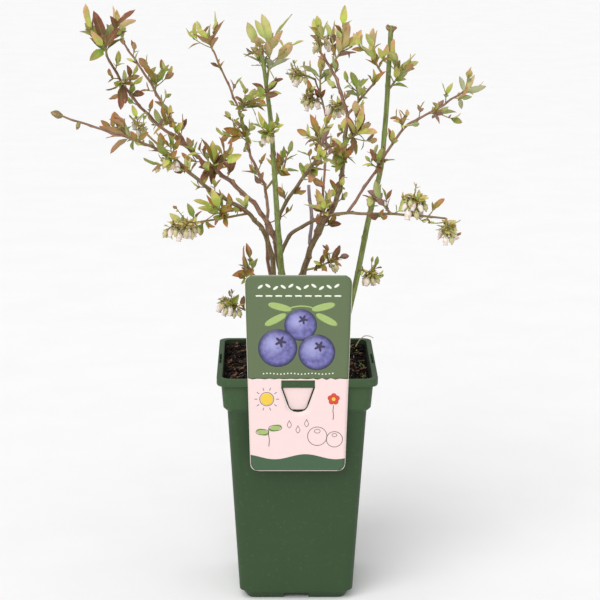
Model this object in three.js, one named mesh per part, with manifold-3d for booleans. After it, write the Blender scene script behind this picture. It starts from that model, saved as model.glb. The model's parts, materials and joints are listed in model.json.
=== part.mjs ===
// A potted blueberry bush: a square nursery pot with its fill of peat, a hang-in label,
// the stems and boughs of the bush, and its shoots of leaves and bell blossom.
// Millimetres, +Z up, the label on the -Y side, origin in the middle of the pot's underside.
//
// Every limb is one tapering tube along a curve through a few stations. Every shoot keeps to
// a round space of its own: from one stem it grows leaves, side twigs and bells by a seeded
// rule, skips what would leave its space or touch a limb, and fuses the rest into one solid.

import * as THREE from 'three';
import { mergeVertices } from 'three/addons/utils/BufferGeometryUtils.js';
import Module from 'manifold-3d';

const wasm = await Module();
wasm.setup();

// ---- driving dimensions ----------------------------------------------------------------

const GAP = 0.3; // air left between two solids that touch on the real plant

const POT = {
  height: 226,
  wall: 1.5,
  corner: 9, // plan radius of the upright corners
  rimHalf: 75,
  rimThickness: 1.6,
  skirtHeight: 7, // the rolled rim hangs this far below its top
  skirtWall: 1.2,
  skirtChamfer: 1.2,
  collarTopHalf: 71.3,
  collarBottomHalf: 69,
  collarBottom: 196, // where the collar steps in to the body
  bodyTop: 191.5,
  bodyTopHalf: 65.2,
  bodyBottom: 9.5,
  bodyBottomHalf: 54.2,
  footHeight: 7,
  footTopHalf: 50.8,
  footBottomHalf: 46.5,
  footWall: 2,
  footGapWidth: 24,
  footGapHeight: 5,
  floorTop: 9,
  padRadius: 12, // flat pad under the middle of the floor
  drainRadius: 5,
  drainOffset: 28,
  slotLength: 33,
  slotWidth: 2.1,
};

const SOIL = { edge: 209, shoulderHalf: 57, shoulder: 211.5, plateauHalf: 47, top: 213, crumb: 1.1 };

const LABEL = {
  thickness: 0.6,
  top: 326,
  bottom: 138,
  topHalf: 49.3,
  bottomHalf: 44.3,
  corner: 8,
  shift: 0.6, // the card hangs a little right of the pot's middle
  holeHalf: 15.6,
  tongueHalf: 14.8,
  taperTop: 218.6,
  taperBottom: 203,
  taperHalf: 9.3,
  tongueBottom: 196.2,
};

const TWIG = { base: 1.25, side: 0.9, tip: 0.75, root: 0.3 }; // radii of the three-sided twigs
const LEAF = { thickness: 0.035, sink: 0.1, apart: 0.17 }; // thickness and spacing are shares of a blade
const BELL = { sink: 0.2, neck: 1.4, belly: 3.2, mouth: 2.1, room: 3.4, apart: 6.2, offLeaf: 4 };
const FLARE = { share: 0.35, height: 7 }; // how a stem widens where it leaves the soil

const COLOURS = {
  pot: 0x35543a,
  soil: 0x2f221b,
  label: 0x8fa37e,
  cane: 0x5f7f45,
  olive: 0x6a6440,
  bark: 0x6f4a3c,
  grey: 0x7d7078,
  leaves: 0x6f8f45,
  blossom: 0xb9b08a,
};

// A limb runs through its stations. With a parent it starts on that limb's axis and is cut
// clear of it; with none it is cut flat just above the soil.
const LIMBS = [
  limb('cane_left', null, 'cane', 3.4, 1.7,
    [2, -15, 213], [-14, -19, 314], [-20, -26, 389], [-25, -33, 462], [-34, -40, 530]),
  limb('cane_right', null, 'cane', 3.0, 2.3,
    [36, 6, 213], [53, 14, 279], [70, 25, 363], [82, 32, 420], [89, 45, 540]),
  limb('stem_left', null, 'bark', 3.2, 0.9,
    [-6, 0, 213], [-17, 0, 321], [-32, 4, 365], [-71, 12, 403], [-103, 20, 427], [-136, 52, 478],
    [-166, 80, 518]),
  limb('stem_front_left', null, 'olive', 2.7, 1.5,
    [-14, -6, 213], [-24, -11, 328], [-43, -22, 370], [-80, -42, 398], [-114, -62, 433]),
  limb('stem_back_left', null, 'bark', 1.9, 0.9,
    [-12, 10, 213], [-27, 14, 317], [-29, 38, 378], [-45, 63, 415], [-55, 82, 452], [-81, 105, 508]),
  limb('stem_main', null, 'olive', 3.3, 1.8,
    [2, 5, 213], [7, 0, 310], [19, -4, 348], [36, -9, 380], [42, -9, 410], [47, 6, 461]),
  limb('bough_top_left', 'stem_left', 'bark', 1.6, 1.1,
    [-103, 20, 427], [-133, 0, 455], [-157, -22, 488], [-173, -45, 522]),
  limb('bough_low_left', 'stem_front_left', 'bark', 1.3, 0.9,
    [-114, -62, 433], [-143, -71, 448], [-174, -80, 460], [-211, -88, 474]),
  limb('bough_centre', 'stem_left', 'olive', 1.9, 1.4,
    [-20, 2, 340], [-15, -4, 370], [3, -30, 405], [19, -63, 433], [29, -84, 448]),
  limb('bough_top_mid', 'stem_main', 'bark', 1.7, 1.2,
    [47, 6, 461], [36, 38, 492], [23, 70, 512]),
  limb('bough_top_right', 'stem_main', 'bark', 1.3, 0.9,
    [47, 6, 461], [62, 7, 479], [79, 14, 499]),
  limb('bough_right', 'stem_left', 'olive', 2.1, 0.9,
    [-17, -1, 325], [-3, -12, 353], [31, -41, 375], [59, -55, 379], [97, -74, 382], [133, -90, 382]),
  limb('bough_far_right', 'bough_right', 'bark', 1.4, 0.9,
    [46, -48, 379], [72, -48, 419], [97, -38, 455], [128, -24, 471], [153, -10, 485]),
  limb('stub_grey', 'stem_main', 'grey', 1.7, 1.5, [12, -1, 338], [14, 5, 362], [11, 16, 392]),
  limb('stem_back', 'stem_main', 'bark', 1.5, 0.8,
    [8, 0, 321], [21, 26, 352], [26, 46, 381], [29, 80, 443], [19, 99, 481]),
];

// How a shoot's leaves stand: the angle off the stem of its lowest and highest leaves, in
// degrees, and the share of a leaf's length by which it turns up.
const HABITS = {
  erect: { low: 60, high: 10, rise: 0.35 },
  open: { low: 78, high: 22, rise: 0.15 },
  wide: { low: 92, high: 36, rise: 0.1 },
  droop: { low: 98, high: 52, rise: -0.1 },
};

// Each shoot: its limb and how far up that it starts, the centre and reach of its space, its
// habit, its leaves and their length; then side twigs, bells and the stem's bearing. A shoot's
// seed is its number in this list.
const SHOOTS = [
  shoot('leaves_top_left', 'bough_top_left', 1, [-174, -54, 545], 38, 'erect', 12, 38, { twigs: 2 }),
  shoot('leaves_top_left_low', 'bough_top_left', 0.76, [-160, -36, 495], 26, 'erect', 10, 24),
  shoot('leaves_left_upper', 'stem_left', 0.83, [-132, 44, 495], 23, 'erect', 10, 24),
  shoot('leaves_left_inner', 'stem_left', 0.74, [-127, 24, 454], 17, 'open', 8, 18),
  shoot('leaves_far_left', 'bough_low_left', 0.38, [-159, -60, 457], 24, 'open', 10, 28),
  shoot('blossom_left', 'stem_front_left', 1, [-146, -50, 460], 18, 'open', 4, 10,
    { bells: 8, lift: 0.2, head: -0.5 }),
  shoot('leaves_left_fork', 'stem_front_left', 0.99, [-119, -68, 437], 24, 'erect', 8, 20,
    { twigs: 2, bells: 3 }),
  shoot('leaves_left_middle', 'stem_left', 0.54, [-78, 2, 420], 30, 'open', 12, 28,
    { twigs: 2, each: 4 }),
  shoot('leaves_front_left', 'stem_front_left', 0.57, [-81, -48, 386], 28, 'open', 9, 26,
    { twigs: 2 }),
  shoot('blossom_front_left', 'stem_front_left', 0.52, [-107, -66, 371], 25, 'wide', 6, 10,
    { twigs: 2, each: 1, bells: 10, bellsEach: 4, lift: 0.05, head: -0.3 }),
  shoot('leaves_back_left', 'stem_back_left', 0.71, [-56, 66, 436], 24, 'erect', 10, 24,
    { twigs: 1 }),
  shoot('leaves_back_left_high', 'stem_back_left', 0.81, [-45, 76, 466], 28, 'open', 8, 24,
    { twigs: 2 }),
  shoot('leaves_back_left_tip', 'stem_back_left', 1, [-86, 108, 524], 27, 'erect', 12, 26),
  shoot('leaves_cane_top', 'cane_left', 0.86, [-25, -28, 538], 32, 'open', 12, 34, { twigs: 2 }),
  shoot('leaves_cane_upper', 'cane_left', 0.82, [-29, -48, 497], 19, 'wide', 8, 18),
  shoot('leaves_cane_middle', 'cane_left', 0.72, [-29, -50, 455], 18, 'erect', 5, 22, { bells: 4 }),
  shoot('leaves_behind_cane', 'stem_back_left', 0.42, [-12, 22, 418], 22, 'open', 8, 20,
    { twigs: 1 }),
  shoot('leaves_centre_high', 'bough_centre', 0.91, [15, -66, 456], 21, 'open', 10, 24,
    { twigs: 1 }),
  shoot('leaves_centre_low', 'bough_centre', 0.65, [13, -52, 425], 22, 'wide', 10, 24,
    { twigs: 1 }),
  shoot('leaves_main_high', 'stem_main', 0.92, [56, -26, 453], 26, 'open', 10, 28, { twigs: 1 }),
  shoot('leaves_main_low', 'stem_main', 0.84, [41, -14, 429], 20, 'open', 10, 20, { twigs: 1 }),
  shoot('blossom_back_tip', 'stem_back', 1, [4, 102, 487], 15, 'open', 5, 10,
    { bells: 6, lift: 0.1, head: -0.5 }),
  shoot('blossom_back_high', 'stem_back', 0.84, [16, 90, 463], 14, 'open', 5, 11,
    { bells: 4, head: -0.5 }),
  shoot('leaves_back', 'stem_back', 0.9, [23, 84, 494], 17, 'open', 6, 20),
  shoot('blossom_back_low', 'stem_back', 0.74, [37, 72, 457], 14, 'open', 4, 10,
    { bells: 4, lift: 0.1, head: -0.5 }),
  shoot('leaves_top_middle_tip', 'bough_top_mid', 1, [23, 76, 530], 22, 'erect', 8, 25, { bells: 3 }),
  shoot('leaves_top_middle', 'bough_top_mid', 0.69, [47, 52, 527], 32, 'erect', 10, 30,
    { twigs: 2 }),
  shoot('leaves_top_right_tip', 'bough_top_right', 1, [68, 8, 523], 24, 'erect', 10, 25),
  shoot('leaves_top_right', 'bough_top_right', 0.34, [56, 0, 489], 18, 'open', 7, 18),
  shoot('leaves_cane_right_top', 'cane_right', 0.88, [101, 36, 506], 27, 'erect', 9, 26,
    { twigs: 1 }),
  shoot('leaves_far_right_low', 'bough_far_right', 0.49, [95, -42, 465], 14, 'open', 5, 14),
  shoot('leaves_far_right', 'bough_far_right', 0.7, [134, -20, 471], 22, 'erect', 9, 19),
  shoot('leaves_far_right_tip', 'bough_far_right', 1, [157, -6, 488], 19, 'erect', 7, 22),
  shoot('leaves_right_fork', 'bough_far_right', 0.25, [73, -52, 428], 16, 'open', 7, 16),
  shoot('leaves_right', 'bough_right', 0.74, [75, -64, 395], 20, 'erect', 8, 22),
  shoot('blossom_right', 'bough_right', 0.83, [104, -78, 394], 21, 'open', 4, 10,
    { twigs: 1, each: 1, bells: 9, bellsEach: 3, head: -0.3 }),
  shoot('blossom_right_tip', 'bough_right', 1, [133, -93, 374], 25, 'erect', 7, 14,
    { bells: 7, lift: -0.1, head: -0.1 }),
  shoot('leaves_right_inner', 'bough_right', 0.37, [23, -42, 385], 19, 'open', 10, 20),
  shoot('leaves_low_right', 'stem_main', 0.21, [36, -28, 333], 20, 'open', 8, 20,
    { bells: 2, lift: 0.3 }),
  shoot('blossom_low_right', 'cane_right', 0.34, [70, -18, 314], 17, 'open', 4, 10,
    { bells: 4, lift: -0.2, head: -0.4 }),
  shoot('leaves_low_left', 'stem_front_left', 0.18, [-53, -32, 324], 21, 'erect', 7, 24,
    { lift: 0.2 }),
  shoot('blossom_low_left', 'stem_front_left', 0.11, [-62, -34, 289], 17, 'erect', 6, 9,
    { bells: 6, lift: 0.3, head: -0.4 }),
];

// Buds that end a limb or stand off its side: how far up it, the bud's radius and length and,
// for a side bud, the way it points.
const BUDS = [
  { on: 'bough_low_left', at: 1, radius: 3.4, length: 11 },
  { on: 'bough_low_left', at: 0.86, radius: 2, length: 8, towards: [-0.3, -0.5, -0.8] },
  { on: 'stem_left', at: 1, radius: 2.1, length: 8 },
  { on: 'cane_left', at: 0.97, radius: 2.6, length: 13, towards: [-0.8, -0.1, 0.6] },
  { on: 'cane_right', at: 0.985, radius: 2.4, length: 9, towards: [-0.5, -0.5, 0.7] },
  { on: 'cane_right', at: 0.99, radius: 2.2, length: 8, towards: [0.6, -0.3, 0.7] },
];

// ---- small vector and random helpers ---------------------------------------------------

const UP = new THREE.Vector3(0, 0, 1);
const GOLDEN = Math.PI * (3 - Math.sqrt(5));
const mix = THREE.MathUtils.lerp;

function limb(name, parent, colour, base, tip, ...stations) {
  return { name, parent, colour, base, tip, stations };
}

function shoot(name, on, at, centre, reach, habit, leaves, leaf, more = {}) {
  const place = { name, on, at, centre: new THREE.Vector3(...centre), reach };
  const plain = { twigs: 0, each: 3, bells: 0, bellsEach: 0, lift: 0.5, head: 0.2 };
  return { ...place, habit, leaves, leaf, ...plain, ...more };
}

// A repeatable stream of numbers from 0 to 1.
function seeded(seed) {
  let state = (Math.imul(seed, 2654435761) + 97) >>> 0;
  const draw = () => {
    state = (Math.imul(state, 1664525) + 1013904223) >>> 0;
    return state / 4294967296;
  };
  draw();
  draw();
  return draw;
}

function along(point, direction, distance) {
  return point.clone().addScaledVector(direction, distance);
}

// Two unit vectors square to an axis and to each other.
function crossAxes(axis) {
  const reference = Math.abs(axis.z) > 0.8 ? new THREE.Vector3(1, 0, 0) : UP;
  const first = axis.clone().cross(reference).normalize();
  return [first, axis.clone().cross(first)];
}

// The direction that leans off an axis by `spread`, at `around` about it.
function turned(axis, around, spread) {
  const [first, second] = crossAxes(axis);
  return axis.clone().multiplyScalar(Math.cos(spread))
    .addScaledVector(first, Math.cos(around) * Math.sin(spread))
    .addScaledVector(second, Math.sin(around) * Math.sin(spread));
}

// ---- curves ----------------------------------------------------------------------------

// A limb's centre line: a uniform Catmull-Rom curve, with its radius from foot to tip.
function limbLine(spec) {
  const points = spec.stations.map((station) => new THREE.Vector3(...station));
  const spans = points.length - 1;
  const at = (u) => {
    const x = Math.min(Math.max(u, 0), 1) * spans;
    const i = Math.min(Math.floor(x), spans - 1);
    const t = x - i;
    const [p1, p2] = [points[i], points[i + 1]];
    const p0 = i > 0 ? points[i - 1] : p1.clone().multiplyScalar(2).sub(p2);
    const p3 = i + 2 <= spans ? points[i + 2] : p2.clone().multiplyScalar(2).sub(p1);
    const blend = (a, b, c, d) => 0.5 * (2 * b + (c - a) * t + (2 * a - 5 * b + 4 * c - d) * t * t
      + (-a + 3 * b - 3 * c + d) * t * t * t);
    return new THREE.Vector3(
      blend(p0.x, p1.x, p2.x, p3.x),
      blend(p0.y, p1.y, p2.y, p3.y),
      blend(p0.z, p1.z, p2.z, p3.z),
    );
  };
  const heading = (u) => at(Math.min(u + 0.01, 1)).sub(at(Math.max(u - 0.01, 0))).normalize();
  const radius = (u) => mix(spec.base, spec.tip, u ** 0.9);
  return { at, heading, radius, length: curveLength(at, 40) };
}

// A twig's centre line: a quadratic curve from its root through a knee to its head. A side
// twig's very root is thinner, to end inside the stem.
function twigLine(root, knee, head, base, tip, veryRoot = base) {
  const at = (u) => root.clone().multiplyScalar((1 - u) ** 2)
    .addScaledVector(knee, 2 * u * (1 - u)).addScaledVector(head, u * u);
  const heading = (u) => knee.clone().sub(root).multiplyScalar(1 - u)
    .addScaledVector(head.clone().sub(knee), u).normalize();
  const radius = (u) => (u === 0 ? veryRoot : mix(base, tip, u));
  return { at, heading, radius, length: curveLength(at, 8) };
}

function curveLength(at, steps) {
  let length = 0;
  for (let i = 0; i < steps; i += 1) length += at(i / steps).distanceTo(at((i + 1) / steps));
  return length;
}

// ---- solids ----------------------------------------------------------------------------

function solidFrom(geometry) {
  const bare = geometry.clone();
  bare.deleteAttribute('normal');
  bare.deleteAttribute('uv');
  const merged = mergeVertices(bare, 1e-4);
  return new wasm.Manifold(new wasm.Mesh({
    numProp: 3,
    vertProperties: new Float32Array(merged.attributes.position.array),
    triVerts: new Uint32Array(merged.index.array),
  }));
}

function solidFromFaces(vertices, faces) {
  return new wasm.Manifold(new wasm.Mesh({
    numProp: 3,
    vertProperties: new Float32Array(vertices.flatMap((v) => [v.x, v.y, v.z])),
    triVerts: new Uint32Array(faces.flat()),
  }));
}

// A closed solid through equal rings of points, each counterclockwise about the way ahead; it
// starts flat, or from a point.
function loft(rings, point = null) {
  const count = rings[0].length;
  const vertices = rings.flat();
  const last = (rings.length - 1) * count;
  const faces = [];
  for (let r = 0; r < rings.length - 1; r += 1) {
    for (let i = 0; i < count; i += 1) {
      const a = r * count + i;
      const b = r * count + ((i + 1) % count);
      faces.push([a, b, b + count], [a, b + count, a + count]);
    }
  }
  for (let i = 1; i < count - 1; i += 1) {
    faces.push([last, last + i, last + i + 1]);
    if (!point) faces.push([0, i + 1, i]);
  }
  if (point) {
    const apex = vertices.push(point) - 1;
    for (let i = 0; i < count; i += 1) faces.push([apex, (i + 1) % count, i]);
  }
  return solidFromFaces(vertices, faces);
}

function box(width, depth, height, x, y, z) {
  return solidFrom(new THREE.BoxGeometry(width, depth, height).translate(x, y, z));
}

function upright(radius, bottom, top, x, y, sides = 12) {
  const shape = new THREE.CylinderGeometry(radius, radius, top - bottom, sides);
  return solidFrom(shape.rotateX(Math.PI / 2).translate(x, y, (bottom + top) / 2));
}

const joined = (solids) => solids.reduce((whole, solid) => whole.add(solid));

// The largest body of a solid: scraps that a cut leaves behind and sealed hollows go.
function largest(solid) {
  return solid.decompose().reduce((best, piece) => (piece.volume() > best.volume() ? piece : best));
}

function meshOf(name, solid, colour, roughness = 0.8) {
  const { vertProperties, triVerts } = solid.getMesh();
  const geometry = new THREE.BufferGeometry();
  geometry.setAttribute('position', new THREE.BufferAttribute(vertProperties, 3));
  geometry.setIndex(new THREE.BufferAttribute(triVerts, 1));
  geometry.computeVertexNormals();
  const material = new THREE.MeshStandardMaterial({ color: colour, roughness, metalness: 0 });
  const mesh = new THREE.Mesh(geometry, material);
  mesh.name = name;
  return mesh;
}

// ---- pot, soil and label ---------------------------------------------------------------

// One level ring of a square with round corners.
function squareRing(half, corner, z, steps = 4) {
  const points = [];
  for (let quarter = 0; quarter < 4; quarter += 1) {
    for (let step = 0; step <= steps; step += 1) {
      const angle = (quarter + step / steps) * (Math.PI / 2);
      const middle = (quarter + 0.5) * (Math.PI / 2);
      const offset = (half - corner) * Math.SQRT2;
      points.push(new THREE.Vector3(
        Math.cos(middle) * offset + Math.cos(angle) * corner,
        Math.sin(middle) * offset + Math.sin(angle) * corner,
        z,
      ));
    }
  }
  return points;
}

// The pot's inside, drawn in by `inset` from the wall's inner face and cut at `top`.
function cavityRings(inset, bottom, top) {
  const corner = POT.corner - POT.wall - inset;
  const inner = (half) => half - POT.wall - inset;
  const rise = (POT.collarTopHalf - POT.collarBottomHalf) / (POT.height - POT.collarBottom);
  const topHalf = POT.collarBottomHalf + rise * (top - POT.collarBottom);
  return [
    squareRing(inner(POT.bodyBottomHalf), corner, bottom),
    squareRing(inner(POT.bodyTopHalf), corner, POT.bodyTop),
    squareRing(inner(POT.collarBottomHalf), corner, POT.collarBottom),
    squareRing(inner(topHalf), corner, top),
  ];
}

function potSolid() {
  const rimUnder = POT.height - POT.rimThickness;
  const outside = loft([
    squareRing(POT.footBottomHalf, POT.corner - 2, 0),
    squareRing(POT.footTopHalf, POT.corner - 1, POT.footHeight),
    squareRing(POT.bodyBottomHalf, POT.corner, POT.bodyBottom),
    squareRing(POT.bodyTopHalf, POT.corner, POT.bodyTop),
    squareRing(POT.collarBottomHalf, POT.corner, POT.collarBottom),
    squareRing(POT.collarTopHalf, POT.corner, rimUnder),
    squareRing(POT.rimHalf, POT.corner, rimUnder),
    squareRing(POT.rimHalf, POT.corner, POT.height),
  ]);
  const skirtInner = POT.rimHalf - POT.skirtWall;
  const skirtBottom = POT.height - POT.skirtHeight;
  const skirtOutside = loft([
    squareRing(POT.rimHalf - POT.skirtChamfer / 2, POT.corner, skirtBottom),
    squareRing(POT.rimHalf, POT.corner, skirtBottom + POT.skirtChamfer),
    squareRing(POT.rimHalf, POT.corner, POT.height),
  ]);
  const skirtInside = loft([
    squareRing(skirtInner, POT.corner - POT.skirtWall, skirtBottom - 1),
    squareRing(skirtInner, POT.corner - POT.skirtWall, POT.height + 1),
  ]);
  const underside = loft([
    squareRing(POT.footBottomHalf - POT.footWall, POT.corner - 4, -1),
    squareRing(POT.footTopHalf - POT.footWall, POT.corner - 3, POT.footHeight),
  ]);
  let pot = outside.subtract(loft(cavityRings(0, POT.floorTop, POT.height + 1)))
    .subtract(underside)
    .add(upright(POT.padRadius, 0, POT.footHeight + 0.5, 0, 0))
    .add(skirtOutside.subtract(skirtInside));
  const slotMiddle = (POT.collarTopHalf + skirtInner) / 2;
  const gapMiddle = POT.footTopHalf - POT.footWall;
  for (let side = 0; side < 4; side += 1) {
    const turn = side * 90;
    const slot = box(POT.slotLength, POT.slotWidth, 6, 0, -slotMiddle, POT.height);
    const footGap = box(POT.footGapWidth, 16, 2 * POT.footGapHeight, 0, -gapMiddle, 0);
    const drain = upright(POT.drainRadius, -1, 12, POT.drainOffset, POT.drainOffset);
    for (const cutter of [slot, footGap, drain]) pot = pot.subtract(cutter.rotate([0, 0, turn]));
  }
  return pot;
}

// The peat fills the pot, falls a little from a level middle and is crumbly round its edge.
function soilSolid() {
  const draw = seeded(11);
  const crumbly = (ring) => ring.map((p) => along(p, UP, (draw() - 0.5) * 2 * SOIL.crumb));
  const corner = POT.corner;
  return loft([
    ...cavityRings(GAP + 0.05, POT.floorTop + GAP, SOIL.edge),
    crumbly(squareRing(SOIL.shoulderHalf, corner, SOIL.shoulder)),
    squareRing(SOIL.plateauHalf, corner, SOIL.top),
  ]);
}

// A flat card in the XZ plane: the shape's y is the height, and the card grows towards -Y.
function cardFrom(shape, thickness, back) {
  const options = { depth: thickness, bevelEnabled: false, curveSegments: 4 };
  const card = new THREE.ExtrudeGeometry(shape, options);
  return solidFrom(card.rotateX(Math.PI / 2).translate(0, back, 0));
}

function tongueOutline(target, half, top) {
  const { taperTop, taperBottom, tongueBottom } = LABEL;
  const taper = LABEL.taperHalf + (half - LABEL.tongueHalf);
  const bottom = tongueBottom - (half - LABEL.tongueHalf);
  target.moveTo(-half, top);
  target.lineTo(-half, taperTop);
  target.lineTo(-taper, taperBottom);
  target.quadraticCurveTo(-taper + 2, bottom, 0, bottom);
  target.quadraticCurveTo(taper - 2, bottom, taper, taperBottom);
  target.lineTo(half, taperTop);
  target.lineTo(half, top);
  target.closePath();
  return target;
}

// The label's tongue folds back over the rim, goes down through the front slot behind the
// skirt and hangs in front of the collar; the card itself hangs in front of the rim.
function labelSolid() {
  const { top, bottom, topHalf, bottomHalf, corner, thickness } = LABEL;
  const hinge = POT.height + GAP;
  const outline = new THREE.Shape();
  outline.moveTo(-bottomHalf + corner, bottom);
  outline.lineTo(bottomHalf - corner, bottom);
  outline.quadraticCurveTo(bottomHalf, bottom, bottomHalf + 0.1, bottom + corner);
  outline.lineTo(topHalf - 0.1, top - corner);
  outline.quadraticCurveTo(topHalf, top, topHalf - corner, top);
  outline.lineTo(-topHalf + corner, top);
  outline.quadraticCurveTo(-topHalf, top, -topHalf + 0.1, top - corner);
  outline.lineTo(-bottomHalf - 0.1, bottom + corner);
  outline.quadraticCurveTo(-bottomHalf, bottom, -bottomHalf + corner, bottom);
  outline.holes.push(tongueOutline(new THREE.Path(), LABEL.holeHalf, hinge));
  const back = -(POT.rimHalf + GAP);
  const slotMiddle = -(POT.collarTopHalf + POT.rimHalf - POT.skirtWall) / 2;
  const tongueBack = slotMiddle + thickness / 2;
  const foldTop = hinge + thickness;
  const tongueShape = tongueOutline(new THREE.Shape(), LABEL.tongueHalf, foldTop);
  const tongue = cardFrom(tongueShape, thickness, tongueBack);
  const foldFront = back - thickness;
  const fold = box(2 * LABEL.tongueHalf, tongueBack - foldFront, thickness,
    0, (tongueBack + foldFront) / 2, hinge + thickness / 2);
  return cardFrom(outline, thickness, back).add(fold).add(tongue).translate([LABEL.shift, 0, 0]);
}

// ---- limbs -----------------------------------------------------------------------------

const lines = new Map(LIMBS.map((spec) => [spec.name, limbLine(spec)]));

// A tube along a limb, `extra` thicker all round and longer at its tip; thin limbs are six-sided.
function limbTube(spec, extra = 0) {
  const line = lines.get(spec.name);
  const steps = Math.max(3, Math.round(line.length / 22));
  const sides = spec.base > 2.4 ? 8 : 6;
  const rings = [];
  let side = crossAxes(line.heading(0))[0];
  for (let i = 0; i <= steps; i += 1) {
    const u = i / steps;
    const axis = line.heading(u);
    side = side.clone().addScaledVector(axis, -side.dot(axis)).normalize();
    const other = axis.clone().cross(side);
    const flare = spec.parent ? 0 : FLARE.share * Math.exp((-u * line.length) / FLARE.height);
    const radius = line.radius(u) * (1 + flare) + extra;
    const middle = along(line.at(u), axis, i === steps ? extra : 0);
    if (i === 0 && !spec.parent) middle.addScaledVector(axis, -3);
    rings.push(Array.from({ length: sides }, (_, k) => {
      const angle = (k / sides) * 2 * Math.PI;
      return along(along(middle, side, radius * Math.cos(angle)), other, radius * Math.sin(angle));
    }));
  }
  return loft(rings);
}

// A bud is a pointed six-sided spindle whose root is sunk in its limb, `extra` thicker all round.
function budSolid(bud, extra) {
  const line = lines.get(bud.on);
  const axis = bud.towards ? new THREE.Vector3(...bud.towards).normalize() : line.heading(1);
  const root = along(line.at(bud.at), axis, bud.towards ? 0 : -1);
  const [first, second] = crossAxes(axis);
  return loft([[0, 0.4], [0.4, 1], [0.75, 0.75], [1, 0.15]].map(([share, width]) => {
    const middle = along(root, axis, (bud.length + extra) * share);
    return Array.from({ length: 6 }, (_, k) => {
      const angle = (k / 6) * 2 * Math.PI;
      const out = first.clone().multiplyScalar(Math.cos(angle)).addScaledVector(second, Math.sin(angle));
      return along(middle, out, bud.radius * width + extra);
    });
  }));
}

function limbWithBuds(spec, extra = 0) {
  const buds = BUDS.filter((bud) => bud.on === spec.name).map((bud) => budSolid(bud, extra));
  return joined([limbTube(spec, extra), ...buds]);
}

const roomyLimbs = LIMBS.map((spec) => limbWithBuds(spec, GAP + 0.1));

// A limb is cut clear of every limb above it in the table, so its parent comes before it.
function limbSolid(spec, index) {
  let solid = limbWithBuds(spec);
  for (const roomy of roomyLimbs.slice(0, index)) solid = solid.subtract(roomy);
  if (!spec.parent) solid = solid.subtract(box(300, 300, 40, 0, 0, SOIL.top + GAP - 20));
  return largest(solid);
}

// ---- shoots ----------------------------------------------------------------------------

// The one stem of a shoot, from its limb to its head inside the shoot's own space.
function shootStem(spec) {
  const root = lines.get(spec.on).at(spec.at);
  const aim = spec.centre.clone().sub(root).normalize();
  const end = aim.addScaledVector(UP, spec.lift).normalize();
  const head = along(spec.centre, end, -spec.head * spec.reach);
  const knee = along(head, end, -0.45 * head.distanceTo(root));
  return twigLine(root, knee, head, TWIG.base, TWIG.tip);
}

const stems = new Map(SHOOTS.map((spec) => [spec.name, shootStem(spec)]));

// What a shoot has to stay clear of: short straight stretches of every limb and other stem.
const obstacles = [
  ...LIMBS.flatMap((spec) => stretches(spec.name, lines.get(spec.name), 40)),
  ...SHOOTS.flatMap((spec) => stretches(spec.name, stems.get(spec.name), 8, () => 1)),
];

function stretches(owner, line, count, radius = line.radius) {
  return Array.from({ length: count }, (_, i) => {
    const segment = new THREE.Line3(line.at(i / count), line.at((i + 1) / count));
    return { owner, segment, radius: radius(i / count) };
  });
}

function isClear(spec, points, room) {
  const nearest = new THREE.Vector3();
  return obstacles.every(({ owner, segment, radius }) => owner === spec.name || points.every((point) => {
    segment.closestPointToPoint(point, true, nearest);
    return nearest.distanceTo(point) >= radius + room;
  }));
}

// A point is in a shoot's space if it lies in its sphere, on its own side of the plane where
// that sphere meets each other one, above the rim and away from the card.
function isInside(spec, point) {
  const power = point.distanceToSquared(spec.centre) - spec.reach ** 2;
  if (power > 0) return false;
  for (const other of SHOOTS) {
    if (other === spec) continue;
    const difference = point.distanceToSquared(other.centre) - other.reach ** 2 - power;
    if (difference < 0.4 * other.centre.distanceTo(spec.centre)) return false;
  }
  const byTheCard = point.y < -70 && point.z < LABEL.top + 2 && Math.abs(point.x - LABEL.shift) < 52;
  return point.z >= POT.height + 1 && !byTheCard;
}

// The half width of a blade at a share `q` of its length: pointed, and widest past its middle.
function bladeWidth(q) {
  return q > 0 && q < 1 ? Math.sin(Math.PI * q ** 0.85) ** 0.8 : 0;
}

// A point of a blade that is folded along its rib and bent back towards its tip.
function bladePoint(leaf, q, s) {
  const half = 0.5 * leaf.width * bladeWidth(q);
  const side = leaf.direction.clone().cross(leaf.face);
  const run = q * (1 - 0.18 * leaf.curl ** 2 * q) * leaf.length;
  const lift = -0.45 * leaf.curl * q * q * leaf.length + Math.abs(s) * half * 0.22;
  return along(along(along(leaf.root, leaf.direction, run), leaf.face, lift), side, s * half);
}

function leafFits(spec, leaf) {
  for (const q of [0, 0.25, 0.5, 0.75, 1]) {
    for (const s of [-1, 0, 1]) {
      const onRib = s === 0;
      if (!onRib && (q === 0 || q === 1)) continue;
      if (q > 0 && !isInside(spec, bladePoint(leaf, q, s))) return false;
    }
  }
  const samples = [];
  for (const q of [0.15, 0.35, 0.55, 0.75, 1]) {
    for (const s of [-0.8, 0, 0.8]) samples.push(bladePoint(leaf, q, s));
  }
  return isClear(spec, samples, 1);
}

// Blades of one shoot keep off each other by a share of their length at five marks on each.
function keepsApart(leaf, marks) {
  const places = [[0.4, 0], [0.55, -0.8], [0.55, 0.8], [0.75, 0], [1, 0]];
  const own = places.map(([q, s]) => bladePoint(leaf, q, s));
  const room = LEAF.apart * leaf.length;
  if (own.some((p) => marks.some((mark) => mark.distanceTo(p) < room))) return false;
  marks.push(...own);
  return true;
}

function bellFits(spec, bell) {
  const spine = [0.1, 0.5, 1].map((share) => along(bell.neck, bell.hang, bell.length * share));
  const [first, second] = crossAxes(bell.hang);
  const skin = spine.flatMap((p) => [
    along(p, first, BELL.belly), along(p, first, -BELL.belly),
    along(p, second, BELL.belly), along(p, second, -BELL.belly),
  ]);
  return skin.every((p) => isInside(spec, p)) && isClear(spec, spine, BELL.room);
}

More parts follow.
